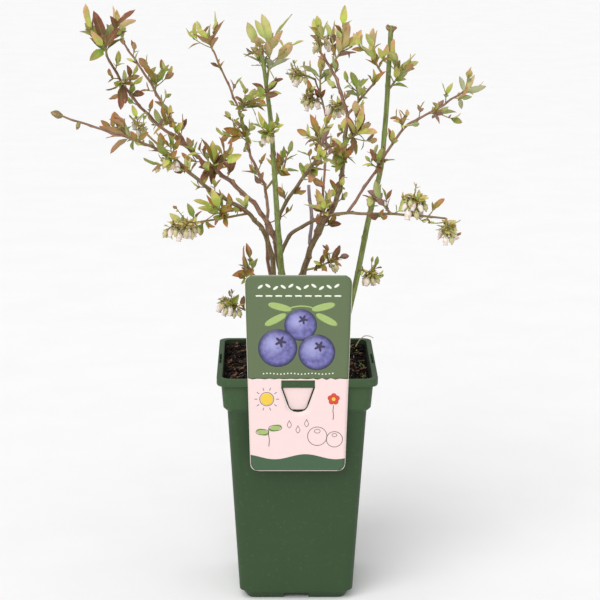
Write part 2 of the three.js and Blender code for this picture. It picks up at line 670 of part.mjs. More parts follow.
// Leaves set round a twig by the golden angle, standing ever closer to it towards its head.
function dealLeaves(spec, grown, twig, from, count, size, phase, draw) {
  const habit = HABITS[spec.habit];
  for (let i = 0; i < count; i += 1) {
    const u = (i + 0.5) / count;
    for (let attempt = 0; attempt < 4; attempt += 1) {
      const t = mix(from, 1, u ** 0.8);
      const axis = twig.heading(t);
      const degrees = mix(habit.low, habit.high, u ** 0.9) + (draw() - 0.5) * 26;
      const direction = turned(axis, phase + i * GOLDEN + attempt * 1.1, THREE.MathUtils.degToRad(degrees))
        .addScaledVector(UP, habit.rise).normalize();
      const face = axis.clone().addScaledVector(direction, -axis.dot(direction)).normalize();
      const length = size * (0.6 + 0.4 * draw()) * (u < 0.2 ? 0.72 : 1);
      const width = length * (0.34 + 0.12 * draw());
      const curl = (0.15 + 0.85 * draw()) * (1 - 0.75 * u);
      const leaf = { root: twig.at(t), direction, face, length, width, curl };
      if (leafFits(spec, leaf) && keepsApart(leaf, grown.marks)) {
        grown.leaves.push(leaf);
        break;
      }
    }
  }
}

// Bells on short stalks that stand out round a twig and hang.
function dealBells(spec, grown, twig, from, count, phase, draw) {
  for (let i = 0; i < count; i += 1) {
    const u = (i + 0.5) / count;
    for (let attempt = 0; attempt < 4; attempt += 1) {
      const root = twig.at(mix(Math.max(from, 0.35), 1, u));
      const angle = phase + 2.4 + i * GOLDEN + attempt * 1.3;
      const out = new THREE.Vector3(Math.cos(angle), Math.sin(angle), 0);
      const stalk = 4 + 4.5 * draw();
      const neck = along(along(root, out, stalk * 0.85), UP, -stalk * (0.15 + 0.5 * draw()));
      const hang = out.clone().multiplyScalar(0.15 + 0.45 * draw()).sub(UP).normalize();
      const length = 9 * (0.8 + 0.25 * draw());
      const bell = { root, neck, hang, length, middle: along(neck, hang, length / 2) };
      const apart = grown.bells.every((other) => other.middle.distanceTo(bell.middle) > BELL.apart)
        && grown.marks.every((mark) => mark.distanceTo(bell.middle) > BELL.offLeaf);
      if (bellFits(spec, bell) && apart) {
        grown.bells.push(bell);
        break;
      }
    }
  }
}

// The seeded rule: side twigs first, each with its leaves and bells, then the stem's own.
function grow(spec) {
  const draw = seeded(SHOOTS.indexOf(spec) + 1);
  const stem = stems.get(spec.name);
  const phase = draw() * 2 * Math.PI;
  const from = Math.max(0.12, 1 - (1.15 * spec.reach) / stem.length);
  const grown = { twigs: [], leaves: [], bells: [], marks: [] };
  for (let j = 0; j < spec.twigs; j += 1) {
    const t = mix(Math.max(from, 0.2), 0.85, (j + 0.5) / spec.twigs);
    const spread = THREE.MathUtils.degToRad(48 + 20 * draw());
    const direction = turned(stem.heading(t), phase + 1.9 + j * GOLDEN, spread)
      .addScaledVector(UP, 0.25).normalize();
    const length = spec.reach * (0.34 + 0.22 * draw());
    const root = stem.at(t);
    const knee = along(along(root, direction, length / 2), UP, -0.06 * length);
    const twig = twigLine(root, knee, along(root, direction, length), TWIG.side, TWIG.tip, TWIG.root);
    const samples = [0.3, 0.6, 1].map((u) => twig.at(u));
    if (!samples.every((p) => isInside(spec, p)) || !isClear(spec, samples, 1.2)) continue;
    grown.twigs.push(twig);
    dealLeaves(spec, grown, twig, 0.35, spec.each, spec.leaf * 0.85, phase + j * 1.7, draw);
    dealBells(spec, grown, twig, 0.35, spec.bellsEach, phase + j * 1.7, draw);
  }
  dealLeaves(spec, grown, stem, from, spec.leaves, spec.leaf, phase, draw);
  dealBells(spec, grown, stem, from, spec.bells, phase, draw);
  return grown;
}

// A twig of three sides along its centre line, `extra` thicker all round.
function twigSolid(line, steps, extra = 0) {
  const rings = [];
  let side = crossAxes(line.heading(0))[0];
  for (let i = 0; i <= steps; i += 1) {
    const u = i / steps;
    const axis = line.heading(u);
    side = side.clone().addScaledVector(axis, -side.dot(axis)).normalize();
    const other = axis.clone().cross(side);
    rings.push([0, 1, 2].map((k) => {
      const angle = (k / 3) * 2 * Math.PI;
      const out = side.clone().multiplyScalar(Math.cos(angle)).addScaledVector(other, Math.sin(angle));
      return along(line.at(u), out, line.radius(u) + extra);
    }));
  }
  return loft(rings);
}

// A blade of eight faces: root, tip, two edges and the rib's upper and lower side.
function leafSolid(leaf) {
  const half = (LEAF.thickness * leaf.length) / 2;
  const rib = bladePoint(leaf, 0.5, 0);
  const vertices = [
    along(leaf.root, leaf.direction, -LEAF.sink),
    bladePoint(leaf, 0.55, -1),
    along(rib, leaf.face, half),
    bladePoint(leaf, 0.55, 1),
    along(rib, leaf.face, -half),
    bladePoint(leaf, 1, 0),
  ];
  const faces = [];
  for (let i = 1; i <= 4; i += 1) {
    const next = (i % 4) + 1;
    faces.push([0, next, i], [5, i, next]);
  }
  return solidFromFaces(vertices, faces);
}

// A bell is a five-sided urn drawn out, above its neck, into a stalk that ends in a point.
function bellSolid(bell) {
  const [first, second] = crossAxes(bell.hang);
  const ring = (share, radius) => Array.from({ length: 5 }, (_, k) => {
    const angle = (k / 5) * 2 * Math.PI;
    const middle = along(bell.neck, bell.hang, bell.length * share);
    return along(along(middle, first, radius * Math.cos(angle)), second, radius * Math.sin(angle));
  });
  const stalk = bell.root.clone().sub(bell.neck).normalize();
  const rings = [ring(0, BELL.neck), ring(0.5, BELL.belly), ring(1, BELL.mouth)];
  return loft(rings, along(bell.root, stalk, BELL.sink));
}

const roomyStems = SHOOTS.map((spec) => twigSolid(stems.get(spec.name), 6, 1));

// A shoot is cut clear of every limb and of the stems of the shoots above it in the table.
function shootSolid(spec, index) {
  const grown = grow(spec);
  const stem = stems.get(spec.name);
  const stemSteps = Math.max(2, Math.ceil(stem.length / 14));
  let solid = joined([
    twigSolid(stem, stemSteps),
    ...grown.twigs.map((twig) => twigSolid(twig, 3)),
    ...grown.leaves.map(leafSolid),
    ...grown.bells.map(bellSolid),
  ]);
  for (const roomy of [...roomyLimbs, ...roomyStems.slice(0, index)]) solid = solid.subtract(roomy);
  return largest(solid);
}

// ---- the plant -------------------------------------------------------------------------

const plant = new THREE.Group();
plant.add(meshOf('pot', potSolid(), COLOURS.pot, 0.55));
plant.add(meshOf('soil', soilSolid(), COLOURS.soil, 1));
plant.add(meshOf('label', labelSolid(), COLOURS.label, 0.4));
LIMBS.forEach((spec, index) => {
  plant.add(meshOf(spec.name, limbSolid(spec, index), COLOURS[spec.colour]));
});
SHOOTS.forEach((spec, index) => {
  const colour = spec.name.startsWith('blossom') ? COLOURS.blossom : COLOURS.leaves;
  plant.add(meshOf(spec.name, shootSolid(spec, index), colour, 0.6));
});

export default plant;
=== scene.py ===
"""Looks for a potted blueberry bush, laid out as a Blender add-on.

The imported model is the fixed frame. The bush grows again here by the rule that made its solids,
with the same tables of limbs and shoots, and is carried on to finer twigs, small leaves, open
bells and closed flower buds. Growth is worked out in millimetres and the meshes are in metres.
"""

import json
import math
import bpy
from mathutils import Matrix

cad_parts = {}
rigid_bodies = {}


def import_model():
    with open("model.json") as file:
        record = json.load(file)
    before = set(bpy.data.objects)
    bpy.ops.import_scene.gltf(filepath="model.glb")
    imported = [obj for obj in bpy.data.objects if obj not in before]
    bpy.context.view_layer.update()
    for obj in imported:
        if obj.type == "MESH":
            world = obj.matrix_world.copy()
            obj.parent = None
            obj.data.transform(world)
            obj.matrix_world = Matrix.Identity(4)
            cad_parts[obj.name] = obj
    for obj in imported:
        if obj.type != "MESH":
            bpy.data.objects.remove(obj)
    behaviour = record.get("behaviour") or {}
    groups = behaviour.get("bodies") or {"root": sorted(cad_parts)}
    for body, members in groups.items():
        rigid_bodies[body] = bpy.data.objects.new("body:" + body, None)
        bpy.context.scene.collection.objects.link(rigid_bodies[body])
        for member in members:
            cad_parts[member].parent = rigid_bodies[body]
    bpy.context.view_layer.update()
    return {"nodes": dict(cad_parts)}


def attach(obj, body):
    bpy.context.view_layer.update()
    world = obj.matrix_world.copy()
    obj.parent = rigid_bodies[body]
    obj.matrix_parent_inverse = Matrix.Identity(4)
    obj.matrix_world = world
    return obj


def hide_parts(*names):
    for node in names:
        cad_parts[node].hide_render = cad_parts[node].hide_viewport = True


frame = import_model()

from types import SimpleNamespace as Row

import bmesh
import bpy
import numpy as np
from bpy.props import FloatProperty, FloatVectorProperty, IntProperty, PointerProperty
from mathutils import Matrix, Vector

bl_info = {
    "name": "Potted blueberry bush",
    "version": (1, 0, 0),
    "blender": (4, 5, 0),
    "location": "View3D > Sidebar > Bush",
    "description": "Builds and finishes the pieces of a blueberry bush in its pot",
    "category": "Object",
}

MM = 0.001
UP = np.array((0.0, 0.0, 1.0))
GOLDEN = math.pi * (3 - math.sqrt(5))

# ---- the bush's tables ------------------------------------------------------------------


def limb(name, parent, bark, base, tip, *stations):
    """A limb's row: what it grows from, its bark, its radii and the stations of its curve."""
    return Row(
        name=name, parent=parent, bark=bark, base=base, tip=tip, stations=np.array(stations, float)
    )


def shoot(name, on, at, centre, reach, habit, leaves, leaf, tints, **more):
    """A shoot's row: its place and space, its habit, its leaves and their tints."""
    row = dict(twigs=0, each=3, bells=0, bells_each=0, lift=0.5, head=0.2, open=0.42)
    row.update(name=name, on=on, at=at, centre=np.array(centre, float), reach=reach)
    row.update(habit=habit, leaves=leaves, leaf=leaf, tints=tints.split())
    row.update(more)
    return Row(**row)


def spur(on, at, offset, leaves, leaf, seed, tints):
    """A spur's row: a short twig off a limb or a shoot's stem, where its head lies from its
    root, how many leaves it has and their length."""
    return Row(
        name=None, on=on, at=at, offset=np.array(offset, float), leaves=leaves, leaf=leaf,
        seed=seed, tints=tints.split(),
    )


LIMBS = [
    limb("cane_left", None, "cane", 3.4, 1.7,
         (2, -15, 213), (-14, -19, 314), (-20, -26, 389), (-25, -33, 462), (-34, -40, 530)),
    limb("cane_right", None, "cane", 3.0, 2.3,
         (36, 6, 213), (53, 14, 279), (70, 25, 363), (82, 32, 420), (89, 45, 540)),
    limb("stem_left", None, "brown", 3.2, 0.9,
         (-6, 0, 213), (-17, 0, 321), (-32, 4, 365), (-71, 12, 403), (-103, 20, 427),
         (-136, 52, 478), (-166, 80, 518)),
    limb("stem_front_left", None, "olive", 2.7, 1.5,
         (-14, -6, 213), (-24, -11, 328), (-43, -22, 370), (-80, -42, 398), (-114, -62, 433)),
    limb("stem_back_left", None, "brown", 1.9, 0.9,
         (-12, 10, 213), (-27, 14, 317), (-29, 38, 378), (-45, 63, 415), (-55, 82, 452),
         (-81, 105, 508)),
    limb("stem_main", None, "olive", 3.3, 1.8,
         (2, 5, 213), (7, 0, 310), (19, -4, 348), (36, -9, 380), (42, -9, 410), (47, 6, 461)),
    limb("bough_top_left", "stem_left", "brown", 1.6, 1.1,
         (-103, 20, 427), (-133, 0, 455), (-157, -22, 488), (-173, -45, 522)),
    limb("bough_low_left", "stem_front_left", "brown", 1.3, 0.9,
         (-114, -62, 433), (-143, -71, 448), (-174, -80, 460), (-211, -88, 474)),
    limb("bough_centre", "stem_left", "olive", 1.9, 1.4,
         (-20, 2, 340), (-15, -4, 370), (3, -30, 405), (19, -63, 433), (29, -84, 448)),
    limb("bough_top_mid", "stem_main", "brown", 1.7, 1.2,
         (47, 6, 461), (36, 38, 492), (23, 70, 512)),
    limb("bough_top_right", "stem_main", "brown", 1.3, 0.9,
         (47, 6, 461), (62, 7, 479), (79, 14, 499)),
    limb("bough_right", "stem_left", "olive", 2.1, 0.9,
         (-17, -1, 325), (-3, -12, 353), (31, -41, 375), (59, -55, 379), (97, -74, 382),
         (133, -90, 382)),
    limb("bough_far_right", "bough_right", "brown", 1.4, 0.9,
         (46, -48, 379), (72, -48, 419), (97, -38, 455), (128, -24, 471), (153, -10, 485)),
    limb("stub_grey", "stem_main", "grey", 1.7, 1.5,
         (12, -1, 338), (14, 5, 362), (11, 16, 392)),
    limb("stem_back", "stem_main", "brown", 1.5, 0.8,
         (8, 0, 321), (21, 26, 352), (26, 46, 381), (29, 80, 443), (19, 99, 481)),
]

# How a shoot's leaves stand: the angle off the stem of its lowest and highest leaves, in
# degrees, and the share of a leaf's length by which it turns up.
HABITS = {
    "erect": (60, 10, 0.35),
    "open": (78, 22, 0.15),
    "wide": (92, 36, 0.1),
}

# Each shoot: its limb and how far up that it starts, the centre and reach of its space, its
# habit, its leaves and their length and the tints of its low, middle and high leaves; then side
# twigs, bells and the stem's bearing. A shoot's seed is its number in this list.
SHOOTS = [
    shoot("leaves_top_left", "bough_top_left", 1, (-174, -54, 545), 38, "erect", 12, 38,
          "green plum blush", twigs=2, open=0.34),
    shoot("leaves_top_left_low", "bough_top_left", 0.76, (-160, -36, 495), 26, "erect", 10, 24,
          "bronze plum lime"),
    shoot("leaves_left_upper", "stem_left", 0.83, (-132, 44, 495), 23, "erect", 10, 24,
          "green bronze lime"),
    shoot("leaves_left_inner", "stem_left", 0.74, (-127, 24, 454), 17, "open", 8, 18,
          "bronze blush green"),
    shoot("leaves_far_left", "bough_low_left", 0.38, (-159, -60, 457), 24, "open", 10, 28,
          "green bronze bronze"),
    shoot("blossom_left", "stem_front_left", 1, (-146, -50, 460), 18, "open", 4, 10,
          "lime lime green", bells=8, lift=0.2, head=-0.5),
    shoot("leaves_left_fork", "stem_front_left", 0.99, (-119, -68, 437), 24, "erect", 8, 20,
          "lime bronze green", twigs=2, bells=3),
    shoot("leaves_left_middle", "stem_left", 0.54, (-78, 2, 420), 30, "open", 12, 28,
          "plum lime bronze", twigs=2, each=4),
    shoot("leaves_front_left", "stem_front_left", 0.57, (-81, -48, 386), 28, "open", 9, 26,
          "green bronze lime", twigs=2),
    shoot("blossom_front_left", "stem_front_left", 0.52, (-107, -66, 371), 25, "wide", 6, 10,
          "lime lime bronze", twigs=2, each=1, bells=10, bells_each=4, lift=0.05, head=-0.3),
    shoot("leaves_back_left", "stem_back_left", 0.71, (-56, 66, 436), 24, "erect", 10, 24,
          "green bronze lime", twigs=1),
    shoot("leaves_back_left_high", "stem_back_left", 0.81, (-45, 76, 466), 28, "open", 8, 24,
          "green bronze lime", twigs=2),
    shoot("leaves_back_left_tip", "stem_back_left", 1, (-86, 108, 524), 27, "erect", 12, 26,
          "bronze lime lime"),
    shoot("leaves_cane_top", "cane_left", 0.86, (-25, -28, 538), 32, "open", 12, 34,
          "sage blush lime", twigs=2, open=0.34),
    shoot("leaves_cane_upper", "cane_left", 0.82, (-29, -48, 497), 19, "wide", 8, 18,
          "lime plum green"),
    shoot("leaves_cane_middle", "cane_left", 0.72, (-29, -50, 455), 18, "erect", 5, 22,
          "lime green lime", bells=4),
    shoot("leaves_behind_cane", "stem_back_left", 0.42, (-12, 22, 418), 22, "open", 8, 20,
          "lime bronze green", twigs=1),
    shoot("leaves_centre_high", "bough_centre", 0.91, (15, -66, 456), 21, "open", 10, 24,
          "plum lime bronze", twigs=1),
    shoot("leaves_centre_low", "bough_centre", 0.65, (13, -52, 425), 22, "wide", 10, 24,
          "plum bronze green", twigs=1),
    shoot("leaves_main_high", "stem_main", 0.92, (56, -26, 453), 26, "open", 10, 28,
          "green plum blush", twigs=1),
    shoot("leaves_main_low", "stem_main", 0.84, (41, -14, 429), 20, "open", 10, 20,
          "green bronze lime", twigs=1),
    shoot("blossom_back_tip", "stem_back", 1, (4, 102, 487), 15, "open", 5, 10,
          "green lime green", bells=6, lift=0.1, head=-0.5),
    shoot("blossom_back_high", "stem_back", 0.84, (16, 90, 463), 14, "open", 5, 11,
          "green lime green", bells=4, head=-0.5),
    shoot("leaves_back", "stem_back", 0.9, (23, 84, 494), 17, "open", 6, 20,
          "sage sage blush"),
    shoot("blossom_back_low", "stem_back", 0.74, (37, 72, 457), 14, "open", 4, 10,
          "green lime lime", bells=4, lift=0.1, head=-0.5),
    shoot("leaves_top_middle_tip", "bough_top_mid", 1, (23, 76, 530), 22, "erect", 8, 25,
          "bronze lime lime", bells=3),
    shoot("leaves_top_middle", "bough_top_mid", 0.69, (47, 52, 527), 32, "erect", 10, 30,
          "plum blush lime", twigs=2),
    shoot("leaves_top_right_tip", "bough_top_right", 1, (68, 8, 523), 24, "erect", 10, 25,
          "bronze lime blush"),
    shoot("leaves_top_right", "bough_top_right", 0.34, (56, 0, 489), 18, "open", 7, 18,
          "sage sage green"),
    shoot("leaves_cane_right_top", "cane_right", 0.88, (101, 36, 506), 27, "erect", 9, 26,
          "green lime blush", twigs=1),
    shoot("leaves_far_right_low", "bough_far_right", 0.49, (95, -42, 465), 14, "open", 5, 14,
          "lime bronze blush"),
    shoot("leaves_far_right", "bough_far_right", 0.7, (134, -20, 471), 22, "erect", 9, 19,
          "plum green blush"),
    shoot("leaves_far_right_tip", "bough_far_right", 1, (157, -6, 488), 19, "erect", 7, 22,
          "sage blush blush"),
    shoot("leaves_right_fork", "bough_far_right", 0.25, (73, -52, 428), 16, "open", 7, 16,
          "lime plum green"),
    shoot("leaves_right", "bough_right", 0.74, (75, -64, 395), 20, "erect", 8, 22,
          "plum plum green"),
    shoot("blossom_right", "bough_right", 0.83, (104, -78, 394), 21, "open", 4, 10,
          "lime lime blush", twigs=1, each=1, bells=9, bells_each=3, head=-0.3),
    shoot("blossom_right_tip", "bough_right", 1, (133, -93, 374), 25, "erect", 7, 14,
          "lime lime bronze", bells=7, lift=-0.1, head=-0.1),
    shoot("leaves_right_inner", "bough_right", 0.37, (23, -42, 385), 19, "open", 10, 20,
          "plum lime blush"),
    shoot("leaves_low_right", "stem_main", 0.21, (36, -28, 333), 20, "open", 8, 20,
          "lime bronze plum", bells=2, lift=0.3),
    shoot("blossom_low_right", "cane_right", 0.34, (70, -18, 314), 17, "open", 4, 10,
          "lime lime green", bells=4, lift=-0.2, head=-0.4),
    shoot("leaves_low_left", "stem_front_left", 0.18, (-53, -32, 324), 21, "erect", 7, 24,
          "green bronze bronze", lift=0.2),
    shoot("blossom_low_left", "stem_front_left", 0.11, (-62, -34, 289), 17, "erect", 6, 9,
          "lime green bronze", bells=6, lift=0.3, head=-0.4),
]
for number, spec in enumerate(SHOOTS, 1):
    spec.number = number

# Low twigs and the tufts at the heads of two limbs.
SPURS = [
    spur("stem_left", 0.3, (20, -4, 13), 3, 12, 1, "lime bronze green"),
    spur("stem_front_left", 0.16, (-24, -6, 12), 2, 16, 2, "green bronze bronze"),
    spur("cane_left", 0.99, (-8, -2, -3), 5, 10, 3, "bronze plum green"),
    spur("stem_left", 1, (-1, 0, 5), 5, 10, 4, "lime lime green"),
]

# The limbs with small spurs at their nodes and how far up the first and the last stand; the
# tints that such spurs take in turn.
NODE_SPURS = [
    ("stem_left", 0.46, 0.96),
    ("stem_front_left", 0.5, 0.92),
    ("stem_back_left", 0.42, 0.95),
    ("stem_main", 0.4, 0.95),
    ("stem_back", 0.35, 0.9),
    ("bough_top_left", 0.1, 0.9),
    ("bough_low_left", 0.05, 0.6),
    ("bough_centre", 0.3, 0.9),
    ("bough_top_mid", 0.1, 0.85),
    ("bough_top_right", 0.1, 0.9),
    ("bough_right", 0.55, 0.95),
    ("bough_far_right", 0.35, 0.95),
]
NODE_TINTS = ["green lime lime", "plum bronze green", "green bronze lime", "bronze plum bronze"]

# Buds that end a limb or stand off its side: how far up it, the bud's radius and length and,
# for a side bud, the way it points.
BUDS = [
    ("bough_low_left", 1, 3.4, 11, None),
    ("bough_low_left", 0.86, 2.0, 8, (-0.3, -0.5, -0.8)),
    ("stem_left", 1, 2.1, 8, None),
    ("cane_left", 0.97, 2.6, 13, (-0.8, -0.1, 0.6)),
    ("cane_right", 0.99, 1.8, 7, (-0.8, -0.3, 0.6)),
    ("cane_right", 0.99, 1.7, 7, (0.85, -0.3, 0.5)),
]

# Cut ends and scars of the canes: limb, place along it, offset to the head, end radii.
CUTS = [
    ("cane_left", 0.975, (-0.8, -0.5, 8.2), 2.0, 1.7),
    ("cane_right", 0.985, (-3.4, -1.2, 8.0), 1.6, 1.2),
    ("cane_right", 0.985, (4.4, -1.4, 6.4), 1.5, 1.3),
    ("cane_right", 0.765, (1.2, -3.6, 1.6), 1.7, 1.2),
    ("cane_right", 0.52, (-1.0, -3.3, 1.0), 1.3, 0.9),
    ("cane_left", 0.64, (1.8, -3.0, 1.4), 1.4, 1.0),
]

TRIES = 4  # how often a leaf or a bell is tried, each time further round its twig
RIM_TOP, LABEL_TOP, LABEL_SHIFT = 226, 326, 0.6
CARD_SPACE = (-70, 52, 2)  # kept free for the card: front of this y, half width, room above

# Kinds of twig: a pair is the least and how much more, `tests` are places that must be free.
STEM = Row(base=1.25, tip=0.75)
SIDE = Row(
    spread=(48, 20), rise=0.25, length=(0.34, 0.22), sag=0.06, base=0.9, tip=STEM.tip, room=1.2,
    tests=(0.3, 0.6, 1), bare=0.35, leaf=0.85,
)
TUFT = Row(
    spread=(40, 30), rise=0.35, length=(0.5, 0.4), sag=0.08, base=0.6, tip=0.4, room=0.8,
    tests=(0.4, 0.7, 1), bare=0.55, leaf=0.75,
)
SPUR = Row(knee=0.55, sag=0.12, base=0.7, tip=0.45, room=0.2, apart=0.1)

# A spur at a node: the nodes' distance, the share of them that has one, its leaves and their
# length, and the rest as for a twig, in millimetres.
NODE = Row(
    gap=11, share=0.9, spread=(45, 30), rise=0.3, length=(3, 6), leaves=(2, 3), leaf=(11, 8),
)

# How leaves vary: sway is in degrees, turn is from try to try, lowest is a share of length.
LEAF = Row(
    sway=26, turn=1.1, length=(0.6, 0.4), lowest=0.72, width=(0.34, 0.12), curl=(0.15, 0.85),
    flatter=0.75, apart=0.17,
)

# A bell in millimetres, with its room from limbs, from the next bell and from leaves.
BELL = Row(
    belly=3.2, full=9.0, room=3.4, apart=6.2, off_leaf=4, phase=2.4, turn=1.3, stalk=(4, 4.5),
    fall=(0.15, 0.5), lean=(0.15, 0.45), length=(0.8, 0.25),
)

# The finer growth: more leaves, tufts and flower buds, a little past the shoot's space.
FINER = Row(
    seed=500, swell=1.12, room=0.6, apart=0.14, more=0.15, size=0.85, tufts=3, tuft_leaves=3,
    bud=7.0, bud_apart=4.0,
)
OPEN_GROWTH = 1.1  # how much longer a leaf grows once its shoot is opened up

# ---- curves and the seeded rule ---------------------------------------------------------


def unit(vector):
    """The vector, or each vector of an array, at length one."""
    return vector / np.linalg.norm(vector, axis=-1, keepdims=True)


def mix(a, b, share):
    return a + (b - a) * share


def turns(sides):
    """Equal steps round a full turn, in radians."""
    return np.arange(sides) / sides * 2 * np.pi


def seeded(seed):
    """A repeatable stream of numbers from 0 to 1."""
    state = (seed * 2654435761 + 97) & 0xFFFFFFFF

    def draw():
        nonlocal state
        state = (state * 1664525 + 1013904223) & 0xFFFFFFFF
        return state / 4294967296

    draw()
    draw()
    return draw


def vary(draw, least, more):
    """A drawn number from `least` to `more` above it."""
    return least + more * draw()


def cross_axes(axis):
    """Two unit vectors square to an axis and to each other."""
    reference = np.where(np.abs(axis[..., 2:]) > 0.8, (1.0, 0.0, 0.0), UP)
    first = unit(np.cross(axis, reference))
    return first, np.cross(axis, first)


def turned(axis, around, spread):
    """The direction that leans off an axis by `spread`, at `around` about it."""
    first, second = cross_axes(axis)
    lean = math.cos(around) * first + math.sin(around) * second
    return math.cos(spread) * axis + math.sin(spread) * lean


def curve_length(line, steps):
    points = line.at(np.linspace(0, 1, steps + 1))
    return np.linalg.norm(np.diff(points, axis=0), axis=1).sum()


LIMB_STEPS, TWIG_STEPS = 40, 8


class LimbLine:
    """A limb's centre line, a uniform Catmull-Rom curve, with its radius from foot to tip."""

    def __init__(self, spec):
        points = spec.stations
        self.base, self.tip = spec.base, spec.tip
        self.spans = len(points) - 1
        ends = (2 * points[0] - points[1], 2 * points[-1] - points[-2])
        self.points = np.vstack((ends[0], points, ends[1]))
        self.length = curve_length(self, LIMB_STEPS)

    def at(self, share):
        place = np.clip(np.asarray(share, float), 0, 1) * self.spans
        i = np.minimum(place.astype(int), self.spans - 1)
        t = (place - i)[..., None]
        a, b, c, d = (self.points[i + k] for k in range(4))
        cubic = (-a + 3 * b - 3 * c + d) * t**3
        return 0.5 * (2 * b + (c - a) * t + (2 * a - 5 * b + 4 * c - d) * t * t + cubic)

    def heading(self, share):
        share = np.asarray(share, float)
        return unit(self.at(np.minimum(share + 0.01, 1)) - self.at(np.maximum(share - 0.01, 0)))

    def radius(self, share):
        return mix(self.base, self.tip, np.asarray(share, float) ** 0.9)


class TwigLine:
    """A twig's centre line, a quadratic curve from its root through a knee to its head."""

    def __init__(self, root, knee, head, base, tip):
        self.root, self.knee, self.head, self.base, self.tip = root, knee, head, base, tip
        self.length = curve_length(self, TWIG_STEPS)

    def at(self, share):
        t = np.asarray(share, float)[..., None]
        return self.root * (1 - t) ** 2 + self.knee * 2 * t * (1 - t) + self.head * t * t

    def heading(self, share):
        t = np.asarray(share, float)[..., None]
        return unit((self.knee - self.root) * (1 - t) + (self.head - self.knee) * t)


LINES = {spec.name: LimbLine(spec) for spec in LIMBS}


def shoot_stem(spec):
    """The one stem of a shoot, from its limb to its head inside the shoot's own space."""
    root = LINES[spec.on].at(spec.at)
    end = unit(unit(spec.centre - root) + UP * spec.lift)
    head = spec.centre - end * spec.head * spec.reach
    knee = head - end * 0.45 * np.linalg.norm(head - root)
    return TwigLine(root, knee, head, STEM.base, STEM.tip)


def leafy_from(spec, stem):
    """How far up its stem a shoot's leaves start."""
    return max(0.12, 1 - 1.15 * spec.reach / stem.length)


class Surroundings:
    """What growth keeps clear of: the shoots' spaces and short stretches of limbs and stems."""

    def __init__(self, shoots, stems):
        self.centres = np.array([s.centre for s in shoots])
        self.reaches = np.array([s.reach for s in shoots], float)
        self.index = {s.name: i for i, s in enumerate(shoots)}
        self.between = np.linalg.norm(self.centres[:, None] - self.centres, axis=2)
        share = np.linspace(0, 1, LIMB_STEPS + 1)
        chains = [(line.at(share), line.radius(share[:-1]), -1) for line in LINES.values()]
        share = np.linspace(0, 1, TWIG_STEPS + 1)
        chains += [(stems[s.name].at(share), np.ones(TWIG_STEPS), self.index[s.name])
                   for s in shoots]
        self.starts = np.vstack([points[:-1] for points, _, _ in chains])
        self.ends = np.vstack([points[1:] for points, _, _ in chains])
        self.radii = np.concatenate([radii for _, radii, _ in chains])
        self.owners = np.repeat([owner for _, _, owner in chains],
                                [len(radii) for _, radii, _ in chains])
        self.spans = self.ends - self.starts
        self.squares = (self.spans**2).sum(1)

    def inside(self, spec, points, swell=1.0):
        """In the shoot's sphere, on its own side of the plane where that sphere meets each
        other one, above the rim and away from the card."""
        i = self.index[spec.name]
        power = ((points[:, None] - self.centres) ** 2).sum(2) - self.reaches**2
        own = power[:, i : i + 1]
        within = own <= spec.reach**2 * (swell**2 - 1)
        apart = power - own >= 0.4 * self.between[i]
        apart[:, i] = True
        x, y, z = points.T
        front, half, above = CARD_SPACE
        by_the_card = (y < front) & (z < LABEL_TOP + above) & (np.abs(x - LABEL_SHIFT) < half)
        return bool(within.all() and apart.all() and (z >= RIM_TOP + 1).all()
                    and not by_the_card.any())

    def clear(self, spec, points, room):
        """At least `room` from every limb and from the other shoots' stems."""
        away = points[:, None] - self.starts
        t = np.clip((away * self.spans).sum(2) / self.squares, 0, 1)
        gap = np.linalg.norm(away - t[..., None] * self.spans, axis=2) - self.radii - room
        mine = self.index.get(spec.name, -2)
        return not (gap[:, self.owners != mine] < 0).any()


def blade_width(q):
    """The half width at a share q of a blade's length: pointed, and widest past its middle."""
    return np.where((q > 0) & (q < 1), np.sin(np.pi * np.clip(q, 0, 1) ** 0.85).clip(0) ** 0.8, 0)


def blade_points(leaf, q, s):
    """Points of a blade folded along its rib and bent back towards its tip: q goes along it
    from 0 to 1 and s across it from -1 to 1."""
    half = 0.5 * leaf.width * blade_width(q)
    run = q * (1 - 0.18 * leaf.curl**2 * q) * leaf.length
    lift = -0.45 * leaf.curl * q * q * leaf.length + np.abs(s) * half * 0.22
    offset = run[..., None] * leaf.direction + lift[..., None] * leaf.face
    return leaf.root + offset + (s * half)[..., None] * leaf.side


# Places on a blade: those that have to be in the shoot's space, those that have to be clear of
# limbs and those that have to be off the blades before it.
SPACE_Q = np.array([0, 0.25, 0.25, 0.25, 0.5, 0.5, 0.5, 0.75, 0.75, 0.75, 1])
SPACE_S = np.array([0, -1, 0, 1, -1, 0, 1, -1, 0, 1, 0])
CLEAR_Q = np.repeat([0.15, 0.35, 0.55, 0.75, 1], 3)
CLEAR_S = np.tile([-0.8, 0, 0.8], 5)
MARK_Q = np.array([0.4, 0.55, 0.55, 0.75, 1])
MARK_S = np.array([0, -0.8, 0.8, 0, 0])


